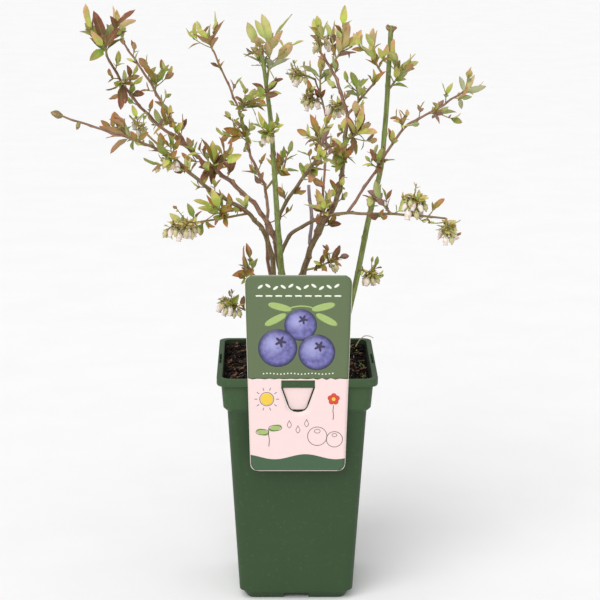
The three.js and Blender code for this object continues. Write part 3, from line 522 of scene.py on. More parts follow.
class Growth:
    """One shoot's growth: it deals leaves and bells along twigs by the seeded rule."""

    def __init__(self, spec, habit, around):
        self.spec, self.habit, self.around = spec, HABITS[habit], around
        self.twigs, self.leaves, self.bells, self.buds = [], [], [], []
        self.marks, self.middles = np.zeros((0, 3)), []
        self.swell, self.room, self.apart = 1.0, 1.0, LEAF.apart

    def tint(self, u):
        """The tint of the shoot's low, middle or high leaves, by how far up a leaf stands."""
        return self.spec.tints[0 if u < 0.34 else 1 if u < 0.72 else 2]

    def accepts(self, leaf):
        """Keeps a leaf that stays in its space, clear of limbs and off the leaves before it."""
        if self.swell:
            points = blade_points(leaf, SPACE_Q, SPACE_S)[1:]
            if not self.around.inside(self.spec, points, self.swell):
                return False
        if not self.around.clear(self.spec, blade_points(leaf, CLEAR_Q, CLEAR_S), self.room):
            return False
        own = blade_points(leaf, MARK_Q, MARK_S)
        if len(self.marks):
            gaps = np.linalg.norm(self.marks[:, None] - own, axis=2)
            if (gaps < self.apart * leaf.length).any():
                return False
        self.marks = np.vstack((self.marks, own))
        return True

    def deal_leaves(self, twig, start, count, size, phase, draw):
        """Leaves set round a twig by the golden angle, ever closer to it towards its head."""
        low, high, rise = self.habit
        for i in range(count):
            u = (i + 0.5) / count
            t = mix(start, 1, u**0.8)
            axis = twig.heading(t)
            for attempt in range(TRIES):
                degrees = mix(low, high, u**0.9) + (draw() - 0.5) * LEAF.sway
                around = phase + i * GOLDEN + attempt * LEAF.turn
                aim = turned(axis, around, math.radians(degrees))
                direction = unit(aim + UP * rise)
                face = unit(axis - (axis @ direction) * direction)
                length = size * vary(draw, *LEAF.length) * (LEAF.lowest if u < 0.2 else 1)
                width = length * vary(draw, *LEAF.width)
                curl = vary(draw, *LEAF.curl) * (1 - LEAF.flatter * u)
                leaf = Row(
                    root=twig.at(t), direction=direction, face=face,
                    side=np.cross(direction, face), length=length, width=width, curl=curl,
                    tint=self.tint(u),
                )
                if self.accepts(leaf):
                    self.leaves.append(leaf)
                    break

    def deal_bells(self, twig, start, count, phase, draw, full=BELL.full, apart=BELL.apart):
        """Bells on short stalks that stand out round a twig and hang. Bells below full size
        are flower buds."""
        into = self.bells if full == BELL.full else self.buds
        scale = full / BELL.full
        for i in range(count):
            u = (i + 0.5) / count
            root = twig.at(mix(max(start, 0.35), 1, u))
            for attempt in range(TRIES):
                angle = phase + BELL.phase + i * GOLDEN + attempt * BELL.turn
                out = np.array((math.cos(angle), math.sin(angle), 0.0))
                stalk = vary(draw, *BELL.stalk)
                neck = root + out * stalk * 0.85 - UP * stalk * vary(draw, *BELL.fall)
                hang = unit(out * vary(draw, *BELL.lean) - UP)
                length = full * vary(draw, *BELL.length)
                middle = neck + hang * length / 2
                free = all(np.linalg.norm(o - middle) > apart for o in self.middles)
                if len(self.marks) and free:
                    gap = np.linalg.norm(self.marks - middle, axis=1)
                    free = bool((gap > BELL.off_leaf * scale).all())
                if free and self.bell_fits(neck, hang, length, scale):
                    self.middles.append(middle)
                    into.append(Row(root=root, neck=neck, hang=hang, length=length))
                    break

    def bell_fits(self, neck, hang, length, scale):
        spine = neck + np.array([[0.1], [0.5], [1.0]]) * length * hang
        first, second = cross_axes(hang)
        sides = np.array((first, -first, second, -second)) * BELL.belly * scale
        skin = (spine[:, None] + sides).reshape(-1, 3)
        return self.around.inside(self.spec, skin) and self.around.clear(
            self.spec, spine, BELL.room * scale)

    def side_twig(self, stem, at, around, kind, draw):
        """A twig of a kind off the stem, or none where its place isn't free."""
        aim = turned(stem.heading(at), around, math.radians(vary(draw, *kind.spread)))
        direction = unit(aim + UP * kind.rise)
        length = self.spec.reach * vary(draw, *kind.length)
        root = stem.at(at)
        knee = root + direction * length / 2 - UP * kind.sag * length
        twig = TwigLine(root, knee, root + direction * length, kind.base, kind.tip)
        tests = twig.at(np.array(kind.tests))
        if not (self.around.inside(self.spec, tests)
                and self.around.clear(self.spec, tests, kind.room)):
            return None
        self.twigs.append(twig)
        return twig


def grow(spec, stem, around):
    """The rule of the solids: side twigs first, each with its leaves and bells, then the
    stem's own."""
    growth = Growth(spec, spec.habit, around)
    draw = seeded(spec.number)
    phase = draw() * 2 * math.pi
    start = leafy_from(spec, stem)
    for j in range(spec.twigs):
        at = mix(max(start, 0.2), 0.85, (j + 0.5) / spec.twigs)
        twig = growth.side_twig(stem, at, phase + 1.9 + j * GOLDEN, SIDE, draw)
        if twig:
            turn = phase + j * 1.7
            growth.deal_leaves(twig, SIDE.bare, spec.each, spec.leaf * SIDE.leaf, turn, draw)
            growth.deal_bells(twig, SIDE.bare, spec.bells_each, turn, draw)
    growth.deal_leaves(stem, start, spec.leaves, spec.leaf, phase, draw)
    growth.deal_bells(stem, start, spec.bells, phase, draw)
    return growth


def open_up(growth, share):
    """Opens a crowded shoot: from the longest leaf to the shortest, a leaf is kept where the
    middle of its blade is a share of its length away from those of the leaves kept before."""
    kept, middles = [], np.zeros((0, 3))
    for leaf in sorted(growth.leaves, key=lambda leaf: -leaf.length):
        middle = leaf.root + 0.6 * leaf.length * leaf.direction
        if (np.linalg.norm(middles - middle, axis=1) > share * leaf.length).all():
            leaf.length *= OPEN_GROWTH
            kept.append(leaf)
            middles = np.vstack((middles, middle))
    growth.leaves = kept


def grow_finer(growth, spec, stem):
    """The rule carried on with a seed of its own: more, smaller leaves between the first
    ones, flower buds between the bells, then short twigs that end in a tuft."""
    draw = seeded(FINER.seed + spec.number)
    phase = draw() * 2 * math.pi
    start = leafy_from(spec, stem)
    growth.swell, growth.room, growth.apart = FINER.swell, FINER.room, FINER.apart
    carriers = [(stem, start), *((twig, SIDE.bare) for twig in growth.twigs)]
    for j, (twig, low) in enumerate(carriers):
        count = round((spec.leaves if j == 0 else spec.each) * FINER.more)
        growth.deal_leaves(twig, low, count, spec.leaf * FINER.size, phase + j, draw)
        if spec.bells:
            buds = spec.bells + 2 if j == 0 else spec.bells_each + 1
            growth.deal_bells(twig, low, buds, phase + j + 1, draw, FINER.bud, FINER.bud_apart)
    for j in range(FINER.tufts):
        at = mix(start, 0.9, (j + 0.5) / FINER.tufts)
        twig = growth.side_twig(stem, at, phase + 0.7 + j * GOLDEN, TUFT, draw)
        if twig:
            growth.deal_leaves(twig, TUFT.bare, FINER.tuft_leaves, spec.leaf * TUFT.leaf,
                               phase + j * 2.1, draw)


def grow_spur(spec, line, around):
    """A spur: a short twig with a few small leaves, the upper ones along it."""
    growth = Growth(spec, "erect", around)
    growth.swell, growth.room, growth.apart = None, SPUR.room, SPUR.apart
    draw = seeded(spec.seed)
    root = line.at(spec.at)
    knee = root + SPUR.knee * spec.offset - UP * SPUR.sag * np.linalg.norm(spec.offset)
    twig = TwigLine(root, knee, root + spec.offset, SPUR.base, SPUR.tip)
    growth.twigs.append(twig)
    growth.deal_leaves(twig, TUFT.bare, spec.leaves, spec.leaf, draw() * 2 * math.pi, draw)
    return growth


def node_spurs(lines):
    """Small spurs by rule: at even steps up a limb or a shoot's stem, set round it by the golden
    angle."""
    runs = [(seed, *run) for seed, run in enumerate(NODE_SPURS, 11)]
    runs += [(100 + spec.number, spec.name, 0.2, 0.9) for spec in SHOOTS]
    spurs = []
    for seed, name, low, high in runs:
        line, draw = lines[name], seeded(seed)
        count = int((high - low) * line.length / NODE.gap)
        for i in range(count):
            at = mix(low, high, (i + 0.5 + 0.5 * (draw() - 0.5)) / count)
            spread = math.radians(vary(draw, *NODE.spread))
            aim = unit(turned(line.heading(at), i * GOLDEN + seed, spread) + UP * NODE.rise)
            offset = aim * vary(draw, *NODE.length)
            leaves, leaf = int(vary(draw, *NODE.leaves)), vary(draw, *NODE.leaf)
            if draw() < NODE.share:
                tints = NODE_TINTS[(i + seed) % len(NODE_TINTS)]
                spurs.append(spur(name, at, offset, leaves, leaf, seed * 20 + i, tints))
    return spurs


def grow_bush():
    """Every shoot's and spur's growth, and the shoots' stems by name."""
    stems = {spec.name: shoot_stem(spec) for spec in SHOOTS}
    around = Surroundings(SHOOTS, stems)
    growths = []
    for spec in SHOOTS:
        growth = grow(spec, stems[spec.name], around)
        open_up(growth, spec.open)
        grow_finer(growth, spec, stems[spec.name])
        growths.append(growth)
    lines = {**LINES, **stems}
    growths += [grow_spur(spec, lines[spec.on], around) for spec in SPURS + node_spurs(lines)]
    return growths, stems


# ---- meshes -----------------------------------------------------------------------------


def noise(points, size, seed=0):
    """Value noise from -1 to 1: a random number at each corner of a lattice of cubes of side
    `size`, blended smoothly in between."""
    scaled = points / size
    cell = np.floor(scaled).astype(np.int64)
    t = scaled - cell
    t = t * t * (3 - 2 * t)
    total = 0
    for corner in np.ndindex(2, 2, 2):
        i, j, k = (cell[..., axis] + corner[axis] for axis in range(3))
        code = (i * 374761393 + j * 668265263 + k * 1440662683 + seed * 974711) & 0xFFFFFFFF
        code = ((code ^ (code >> 13)) * 1274126177) & 0xFFFFFFFF
        value = ((code ^ (code >> 16)) & 0xFFFF) / 32767.5 - 1
        weight = np.prod([t[..., a] if corner[a] else 1 - t[..., a] for a in range(3)], axis=0)
        total = total + value * weight
    return total


def grid_faces(rows, columns):
    """The quads of an open grid whose points are numbered row by row."""
    first = (np.arange(rows - 1)[:, None] * columns + np.arange(columns - 1)).ravel()
    return np.stack((first, first + 1, first + 1 + columns, first + columns), axis=1)


def wrapped_faces(rings, sides):
    """The quads of a grid that closes round itself, ring after ring."""
    ring = np.arange(rings - 1)[:, None] * sides
    here, there = np.arange(sides), (np.arange(sides) + 1) % sides
    corners = (ring + here, ring + there, ring + sides + there, ring + sides + here)
    return np.stack(corners, axis=2).reshape(-1, 4)


def fan_faces(pole, first, sides):
    """The triangles between a pole and the ring that starts at the point `first`."""
    here, there = np.arange(sides), (np.arange(sides) + 1) % sides
    return np.stack((np.full(sides, pole), first + here, first + there), axis=1)


class Skin:
    """Collects points and faces as arrays and makes one mesh object of them."""

    def __init__(self):
        self.points, self.faces, self.maps, self.total = [], [], [], 0

    def add(self, points, *patches):
        """Copies of one shape: points is (copies, n, 3); a patch is an array of faces that
        number the points of one copy, or a pair of that and each face corner's map place."""
        copies, count = points.shape[:2]
        shift = (self.total + np.arange(copies) * count)[:, None, None]
        for patch in patches:
            if not isinstance(patch, tuple):
                patch = (patch, np.zeros((*patch.shape, 2)))
            faces, maps = patch
            self.faces.extend((faces[None] + shift).reshape(-1, faces.shape[1]).tolist())
            self.maps.append(np.broadcast_to(maps, (copies, *faces.shape, 2)).reshape(-1, 2))
        self.points.append(points.reshape(-1, 3))
        self.total += copies * count

    def tubes(self, rings, along=None):
        """Closed tubes: rings is (tubes, rings, sides, 3), with a pole in each end ring. The
        map's u goes once round, and its v is what `along` says of each tube's rings."""
        tubes, count, sides, _ = rings.shape
        poles = rings[:, [0, -1]].mean(axis=2)
        points = np.concatenate((rings.reshape(tubes, -1, 3), poles), axis=1)
        if along is None:
            along = np.zeros((tubes, count))
        row = np.repeat(np.arange(count - 1), sides)[:, None] + (0, 0, 1, 1)
        column = np.tile(np.arange(sides), count - 1)[:, None] + (0, 1, 1, 0)
        u = np.broadcast_to(column / sides, (tubes, *column.shape))
        maps = np.stack((u, along[:, row]), axis=-1)
        first, last = count * sides, (count - 1) * sides
        caps = np.vstack((fan_faces(first, 0, sides)[:, [0, 2, 1]],
                          fan_faces(first + 1, last, sides)))
        self.add(points, (wrapped_faces(count, sides), maps), caps)

    def build(self, name, finish, smooth=True):
        """The object, in metres, with its map named `place` on the face corners."""
        mesh = bpy.data.meshes.new(name)
        mesh.from_pydata((np.vstack(self.points) * MM).tolist(), [], self.faces)
        layer = mesh.uv_layers.new(name="place")
        layer.uv.foreach_set("vector", np.vstack(self.maps).astype(np.float32).ravel())
        mesh.polygons.foreach_set("use_smooth", np.full(len(mesh.polygons), smooth))
        mesh.materials.append(finish)
        mesh.update()
        piece = bpy.data.objects.new(name, mesh)
        bpy.context.scene.collection.objects.link(piece)
        return piece


def sharpen(piece, degrees):
    """Marks as sharp every edge whose faces meet at more than the angle."""
    mesh = bmesh.new()
    mesh.from_mesh(piece.data)
    limit = math.radians(degrees)
    for edge in mesh.edges:
        edge.smooth = len(edge.link_faces) == 2 and edge.calc_face_angle(math.pi) < limit
    mesh.to_mesh(piece.data)
    mesh.free()


def carried_frames(axes, reference):
    """Two unit vectors square to each axis, the first as near as it can be to the reference."""
    first = unit(reference - (reference * axes).sum(-1, keepdims=True) * axes)
    return first, np.cross(axes, first)


def spokes(first, second, sides):
    """Unit vectors at equal steps round an axis, from two that are square to it."""
    angle = turns(sides)[:, None]
    return np.cos(angle) * first + np.sin(angle) * second


def carried_spokes(axes, reference, sides):
    """Spokes round each of many axes, the first as near as it can be to the reference."""
    first, second = carried_frames(axes, reference)
    return spokes(first[..., None, :], second[..., None, :], sides)


def gathered(rows, *names):
    """Each of the named attributes of a list of things, as one array."""
    return (np.array([getattr(row, name) for row in rows]) for name in names)


def twig_rings(twigs, rings=8, sides=6):
    """Tubes round quadratic curves: ring points are the curve's point plus the radius, which
    shrinks evenly and swells a little at three nodes, times a unit vector round the axis."""
    u = np.linspace(0, 1, rings)[None, :, None]
    root, knee, head, base, tip = (
        a[:, None] for a in gathered(twigs, "root", "knee", "head", "base", "tip"))
    centre = root * (1 - u) ** 2 + knee * 2 * u * (1 - u) + head * u * u
    axes = unit((knee - root) * (1 - u) + (head - knee) * u)
    swell = 1 + 0.12 * np.cos(u[..., 0] * 6 * np.pi + 1)
    radius = (mix(base, tip, u[..., 0]) * swell)[..., None, None]
    ring = carried_spokes(axes, cross_axes(unit(head - root))[0], sides)
    return centre[:, :, None] + radius * ring


# Where a blade's grid has its rows, from base to tip, and its columns, from edge to edge.
LEAF_GRID = (np.array([0, 0.08, 0.2, 0.36, 0.54, 0.72, 0.88, 1]), np.array([-1, -0.5, 0, 0.5, 1]))
BRACT_GRID = (np.array([0, 0.16, 0.45, 0.76, 1]), np.array([-1, 0, 1]))


def leaf_patch(grid):
    """The faces and map of a closed blade: an upper grid, and a lower one that shares its
    outline. The map's u goes across, one further on the underside, and its v along."""
    rows, columns = len(grid[0]), len(grid[1])
    upper = grid_faces(rows, columns)
    number = np.arange(rows * columns).reshape(rows, columns)
    number[1:-1, 1:-1] = rows * columns + np.arange((rows - 2) * (columns - 2)).reshape(
        rows - 2, columns - 2)
    under = upper[:, ::-1]
    lower = number.ravel()[under]
    v, u = np.meshgrid(grid[0], grid[1] * 0.48 + 0.5, indexing="ij")
    flat = np.stack((u.ravel(), v.ravel()), axis=1)
    maps = np.concatenate((flat[upper], flat[under] + (1.0, 0.0)))
    return np.concatenate((upper, lower)), maps


BLADE = Row(neck=(0.03, 0.34), cup=0.3, wave=0.02, ripples=1.6, twist=0.5, thick=0.022)


def leaf_points(leaves, grid):
    """Blades as grids: along the rib the blade bends back, across it the halves fold up and
    their margins wave. The underside lies below by a thickness that runs out at the edge."""
    names = ("root", "direction", "face", "side", "length", "width", "curl")
    leaf = Row(
        **{name: a[:, None, None] for name, a in zip(names, gathered(leaves, *names))})
    q, s = grid[0][:, None], grid[1][None]
    neck = np.clip((q - BLADE.neck[0]) / BLADE.neck[1], 0, 1)
    narrow = np.maximum(blade_width(q) ** 0.8 * neck**0.8, 0.04 + 0.03 * (q < 0.5))
    half = 0.5 * leaf.width * narrow * np.clip(1.32 - 0.017 * leaf.length, 0.78, 1.12)
    run = q * (1 - 0.18 * leaf.curl**2 * q) * leaf.length
    turn = np.sin(7.0 * leaf.root[..., 0] + 3.0 * leaf.root[..., 2])
    ripple = np.sin(2 * np.pi * (BLADE.ripples * q + turn) + 1.5 * s)
    lift = -0.45 * leaf.curl * q * q * leaf.length + np.abs(s) ** 1.3 * half * BLADE.cup
    lift = lift + BLADE.wave * leaf.length * s * s * ripple
    twist = BLADE.twist * turn * q
    across = np.cos(twist)[..., None] * leaf.side + np.sin(twist)[..., None] * leaf.face
    offset = run[..., None] * leaf.direction + lift[..., None] * leaf.face
    top = leaf.root + offset + (s * half)[..., None] * across
    depth = BLADE.thick * leaf.length * (1 - s * s) * np.sin(np.pi * q) ** 0.5
    under = (top - depth[..., None] * leaf.face)[:, 1:-1, 1:-1]
    count = len(leaves)
    return np.concatenate((top.reshape(count, -1, 3), under.reshape(count, -1, 3)), axis=1)


def blades(leaves, name, finish, grid=LEAF_GRID):
    """A piece of many blades, whose outlines are marked as sharp."""
    skin = Skin()
    points = leaf_points(leaves, grid)
    skin.add(points, leaf_patch(grid))
    piece = skin.build(name, finish)
    sharpen_margins(piece, grid, points.shape[1])
    return piece


def sharpen_margins(piece, grid, per_leaf):
    """Marks as sharp the edges between two points of a blade's outline that are neighbours."""
    rows, columns = len(grid[0]), len(grid[1])
    number = np.arange(rows * columns).reshape(rows, columns)
    outline = np.concatenate((number[0], number[1:, -1], number[-1, -2::-1], number[-2:0:-1, 0]))
    pair = np.zeros((per_leaf, per_leaf), bool)
    pair[outline, np.roll(outline, -1)] = pair[np.roll(outline, -1), outline] = True
    mesh = piece.data
    ends = np.empty(len(mesh.edges) * 2, np.int32)
    mesh.edges.foreach_get("vertices", ends)
    ends = ends.reshape(-1, 2) % per_leaf
    mesh.edges.foreach_set("use_edge_sharp", pair[ends[:, 0], ends[:, 1]])


# The bell's outline from its neck, over the lip and back up inside: share of its length and
# share of its belly's radius; and the share by which its five lobes stand out there.
BELL_PROFILE = np.array([
    (0.0, 0.12, 0.0), (0.03, 0.5, 0.03), (0.16, 0.8, 0.05), (0.4, 1.0, 0.06), (0.65, 0.95, 0.06),
    (0.86, 0.66, 0.05), (1.0, 0.82, 0.2), (0.97, 0.5, 0.1), (0.6, 0.4, 0.0), (0.5, 0.05, 0.0),
])
CUP_PROFILE = np.array([
    (-0.16, 0.1, 0.0), (-0.14, 0.36, 0.0), (-0.02, 0.52, 0.1), (0.08, 0.66, 0.3),
    (0.2, 0.92, 0.62), (0.1, 0.5, 0.1), (0.02, 0.05, 0.0),
])


def bract(flower, side, up):
    """A small leaf that stands off a flower's stalk to one side, `up` of the way along it."""
    stalk = flower.neck - flower.root
    out = unit(stalk * (1, 1, 0.2) + 1e-6)
    direction = unit(out + np.cross(UP, out) * side + UP * 0.75)
    face = unit(UP - (UP @ direction) * direction)
    length = 6 + 0.35 * np.linalg.norm(stalk)
    return Row(
        root=mix(flower.root, flower.neck, up), direction=direction, face=face,
        side=np.cross(direction, face), length=length, width=0.52 * length, curl=0.35,
    )


LOBES, BELL_SIDES = 5, 10


def turned_rings(flowers, profile):
    """Surfaces of revolution about each flower's axis: a profile of height and radius, whose
    radius swells by the cosine of five times the angle."""
    neck, hang, length = (a[:, None, None] for a in gathered(flowers, "neck", "hang", "length"))
    length = 1.1 * length
    height, radius, lobe = (profile[:, k][:, None] for k in range(3))
    lobed = 1 + lobe * np.cos(LOBES * turns(BELL_SIDES))
    belly = 0.88 * BELL.belly * length / 9 * radius * lobed
    spine = neck + (height * length)[..., None] * hang
    return spine + belly[..., None] * spokes(*cross_axes(hang), BELL_SIDES)


# A limb's skin: its foot goes into the peat and its flare dies out over flare_run.
SKIN = Row(sides=16, step=1.5, foot=7, flare=0.35, flare_run=7, node_reach=1.7)

# The barks: each one's piece, finish and skin; looks are its share of streaks, its roughness,
# relief and share of pores, and nodes are that many millimetres apart.
BARKS = {
    "cane": Row(
        piece="green_canes", slot="cane", finish="green cane", streak=(100, 104, 54),
        looks=(0.6, 0.42, 0.12, 0.3), ridge=0.022, stretch=22, node=31, knob=0.32, bend=0.12),
    "olive": Row(
        piece="olive_stems", slot="olive_bark", finish="olive bark", streak=(98, 72, 54),
        looks=(0.75, 0.5, 0.3, 0.4), ridge=0.06, stretch=12, node=19, knob=0.5, bend=0.5),
    "brown": Row(
        piece="brown_stems", slot="brown_bark", finish="brown bark", streak=(102, 66, 54),
        looks=(0.5, 0.55, 0.35, 0.5), ridge=0.1, stretch=9, node=15, knob=0.55, bend=0.7),
    "grey": Row(
        piece="grey_stub", slot="dead_wood", finish="dead wood", streak=(112, 98, 106),
        looks=(0.4, 0.7, 0.4, 0.2), ridge=0.13, stretch=7, node=17, knob=0.3, bend=0.4),
}


def limb_rings(spec):
    """A limb's skin: rings round its curve, which swings from side to side between its nodes
    by a triangle wave, their radius flared at the soil, ridged lengthwise by stretched noise
    and raised by a scarred node every couple of centimetres."""
    line, bark, seed = LINES[spec.name], BARKS[spec.bark], len(spec.name)
    u = np.linspace(0, 1, max(8, int(line.length / SKIN.step)))
    angle = turns(SKIN.sides)
    overall = unit(line.at(1.0) - line.at(0.0))
    first, second = carried_frames(line.heading(u), cross_axes(overall)[0])
    run = (u * line.length)[:, None]
    radius = line.radius(u)[:, None]
    swing = 2 / np.pi * np.arcsin(0.96 * np.sin(np.pi * (run / bark.node - 0.1)))
    swing = swing * bark.bend * radius * np.clip(run / 14, 0, 1)
    sway = 0.5 + 0.5 * np.cos(run / bark.node * 2.1 + seed)
    centre = line.at(u)
    if spec.parent is None:
        centre[0] -= UP * SKIN.foot
        radius = radius * (1 + SKIN.flare * np.exp(-run / SKIN.flare_run))
    centre = centre + swing * (first * sway + second * (1 - sway))
    around = np.stack(np.broadcast_arrays(
        np.cos(angle) * 2.4, np.sin(angle) * 2.4, run / bark.stretch), axis=2)
    ridges = bark.ridge * (noise(around, 1.0, seed) + 0.4 * noise(around * 2.3, 1.0, 7))
    nodes = np.arange(bark.node * 0.6, line.length - 4, bark.node)[:, None, None]
    turn = np.arange(len(nodes))[:, None, None] * GOLDEN * 1.02 + seed
    near = np.exp(-(((run - nodes) / SKIN.node_reach) ** 2))
    facing = np.clip(np.cos(angle - turn), 0, 1) ** 3
    knobs = (near * (0.07 + bark.knob * facing)).sum(axis=0)
    full = (radius * (1 + ridges + knobs))[..., None]
    ring = spokes(first[:, None], second[:, None], SKIN.sides)
    return (centre[:, None] + full * ring)[None], run[None, :, 0]


def bud_rings(root, axis, radius, length, rings, sides):
    """A bud: a spindle with three scales that wind up it, one ring after another."""
    share = np.sin(np.linspace(0, np.pi / 2, rings))[:, None]
    width = radius * np.sin(np.pi * np.clip(share * 0.86 + 0.13, 0, 1)) ** 0.8
    width = np.maximum(width * (1 + 0.13 * np.cos(3 * turns(sides) + share * 7)), 0.08)
    ring = spokes(*cross_axes(axis), sides)
    return (root + (share * length)[..., None] * axis + width[..., None] * ring)[None]


# ---- pot, peat and label ----------------------------------------------------------------

# The peat: half its width and its heights, and its tilt to the back and to the right.
PEAT = Row(half=69.0, corner=7.0, bottom=9.4, edge=216.0, top=217.0, sunk=1.2, back=0.045,
           right=0.015)
LUMPS = [(1.6, 17.0, 3), (2.2, 7.0, 5), (1.3, 3.1, 9)]  # height, size and seed
HEAPS = [(-56, 58, 3.5), (-30, 60, 2.0), (62, 58, 2.5), (60, -5, 2.0), (-62, -8, 1.5)]
HEAP_SPREAD = 450

# A dry straw that arches over the rim at the back on the right, and spots of moss on that side.
STRAW = [(57, 58, 214), (59, 60, 220), (63, 60, 227.5), (68, 60, 232), (73, 60, 232), (77, 60, 230)]
MOSS = [(57, 52), (65, 14), (64, -22)]

RIM_RIBS = (-17.4, 0, 17.4)  # where the ribs under the rim's slots stand along each side
RIB_REACH, RIB_HEIGHTS = (-74.3, -70.6), (219.4, 224.8)


def rib_rings(side, along):
    """A rib across the hollow under the rim, as a lower and an upper ring of four corners; the
    rib on the front side is turned by quarter turns about the upright axis."""
    x = np.array([-0.6, 0.6, 0.6, -0.6]) + along
    y = np.repeat(RIB_REACH, 2)
    turn = side * np.pi / 2
    level = np.stack((x * np.cos(turn) - y * np.sin(turn), x * np.sin(turn) + y * np.cos(turn)), 1)
    return np.array([np.column_stack((level, np.full(4, z))) for z in RIB_HEIGHTS])


def square_edge(half, corner, angle):
    """How far a square with round corners reaches at an angle: the sides are straight up to
    the corner, where a circle of the corner's radius takes over."""
    c, s = np.abs(np.cos(angle)), np.abs(np.sin(angle))
    flat = half / np.maximum(c, s)
    x, y = flat * c, flat * s
    inset = half - corner
    rounded = inset * (c + s) + np.sqrt(np.maximum(corner**2 - (inset * (c - s)) ** 2, 0))
    return np.where(np.minimum(x, y) > inset, rounded, flat)


def peat_height(x, y):
    """The peat's surface: it rises to the back and falls a little to the right and to the
    wall, with a few heaps and lumps of three sizes."""
    edge = np.maximum(np.abs(x), np.abs(y)) / PEAT.half
    slope = mix(PEAT.top, PEAT.edge, np.clip((edge - 0.72) / 0.28, 0, 1) ** 1.5)
    place = np.stack((x, y, np.zeros_like(x)), axis=-1)
    lumps = sum(high * noise(place, size, seed) for high, size, seed in LUMPS)
    heaps = sum(high * np.exp(-((x - i) ** 2 + (y - j) ** 2) / HEAP_SPREAD) for i, j, high in HEAPS)
    return slope - PEAT.sunk + PEAT.back * y - PEAT.right * x + lumps + heaps


def peat_points():
    """The peat: from the middle of its underside out to the wall and up it, then rings from
    the wall to the middle whose height is the lumpy surface."""
    sides = 144
    angle = turns(sides)
    share = np.linspace(0.02, 1, 46)[:, None]
    reach = square_edge(PEAT.half, PEAT.corner, angle)
    x, y = share * reach * np.cos(angle), share * reach * np.sin(angle)
    top = np.stack((x, y, peat_height(x, y)), axis=-1)[::-1]
    wall = [(2, 2, PEAT.bottom), (51.8, 6, PEAT.bottom), (62.8, 7, 190.5), (66.9, 7, 197)]
    lower = []
    for half, corner, z in wall:
        edge = square_edge(half, min(corner, half), angle)
        lower.append(np.stack((edge * np.cos(angle), edge * np.sin(angle), np.full(sides, z)), -1))
    return np.concatenate((np.array(lower), top))[None]


def crumb_points(places, sizes, lift, seed, shape=(1.25, 0.85, 0.7)):
    """Crumbs on the peat: spheres of five rings pushed in and out by noise, flattened and
    turned."""
    centres = np.column_stack((places, peat_height(*places.T) + lift))
    rise = np.linspace(-0.92, 0.92, 5)[:, None]
    angle = turns(7)
    ring = np.sqrt(1 - rise**2)
    ball = np.stack((ring * np.cos(angle), ring * np.sin(angle), rise + 0 * angle), axis=-1)
    spin = np.random.default_rng(seed).uniform(0, 2 * np.pi, len(centres))[:, None, None]
    long, wide, high = (ball[..., k] * shape[k] for k in range(3))
    x = long * np.cos(spin) - wide * np.sin(spin)
    y = long * np.sin(spin) + wide * np.cos(spin)
    flat = np.stack((x, y, high + 0.25 * x), axis=-1) * sizes[:, None, None, None]
    points = centres[:, None, None] + flat
    return points + flat * 0.45 * noise(points, 1.7, seed)[..., None]


def fibre_rings(starts, angles, lengths, radii, lift, seed):
    """Fibres: thin four-sided tubes along arcs that rise from the surface and dip back."""
    rng = np.random.default_rng(seed)
    u = np.linspace(0, 1, 9)[None, :]
    bend = rng.uniform(-1.2, 1.2, len(starts))[:, None]
    heading = angles[:, None] + bend * u
    step = lengths[:, None] / 8
    x = starts[:, 0, None] + np.cumsum(np.cos(heading) * step, axis=1)
    y = starts[:, 1, None] + np.cumsum(np.sin(heading) * step, axis=1)
    keep = PEAT.half - 2
    x, y = np.clip(x, -keep, keep), np.clip(y, -keep, keep)
    z = peat_height(x, y) + 0.2 + lift[:, None] * np.sin(np.pi * u)
    centre = np.stack((x, y, z), axis=-1)
    axes = unit(np.gradient(centre, axis=1) + 1e-6)
    taper = (radii[:, None] * (1 - 0.6 * np.abs(2 * u - 1) ** 3))[..., None, None]
    return centre[:, :, None] + taper * carried_spokes(axes, UP, 4)


def straw_rings():
    """The straw: a six-sided tube along its own smooth curve."""
    path = LimbLine(Row(base=0.55, tip=0.4, stations=np.array(STRAW, float)))
    u = np.linspace(0, 1, 24)
    ring = carried_spokes(path.heading(u), np.array((0.0, 1.0, 0.0)), 6)
    return (path.at(u)[:, None] + path.radius(u)[:, None, None] * ring)[None]


# The card: its outline, the tongue and its hole, and the layers and thickness of its print.
CARD = Row(
    front=-75.9, top=LABEL_TOP, bottom=138, top_half=49.3, bottom_half=44.3, corner=8,
    hole_half=15.6, taper_top=218.6, taper_bottom=203, taper_half=10.1, hole_bottom=195.4,
    hole=211, tongue=-3.05, bleed=0.25, layer=0.05, ink=0.04, overlay=0.1,
)


def card_half(z):
    """The card's half width at a height: it widens upwards and its corners are round."""
    share = (z - CARD.bottom) / (CARD.top - CARD.bottom)
    half = mix(CARD.bottom_half, CARD.top_half, share)
    from_end = np.minimum(z - CARD.bottom, CARD.top - z)
    cut = np.clip(1 - from_end / CARD.corner, 0, 1)
    return half - CARD.corner * (1 - np.sqrt(1 - cut**2)) * 0.9 - CARD.bleed


def hole_half(z):
    """The half width of the tongue's hole: straight, then tapering to a round end."""
    taper = mix(CARD.hole_half, CARD.taper_half,
                np.clip((CARD.taper_top - z) / (CARD.taper_top - CARD.taper_bottom), 0, 1))
    end = np.clip((z - CARD.hole_bottom) / (CARD.taper_bottom - CARD.hole_bottom), 0, 1)
    return taper * np.sqrt(1 - (1 - end) ** 2)


def seam(x):
    """The height of the wavy line where the card's two printed fields meet."""
    return 227.4 + 0.5 * np.sin(x * 0.9) + 0.35 * np.sin(x * 2.3 + 1)


def level(z):
    """A bound of a field that has the same height everywhere."""
    return lambda x: z + 0 * x


def card_edge(side, inset=0.0):
    """A bound of a field along one edge of the card."""
    return lambda z: side * (card_half(z) - inset)


def tongue_edge(side):
    """A bound of a field along one edge of the tongue."""
    return lambda z: side * np.maximum(hole_half(z + 0.4) - 1.2, 0.3)


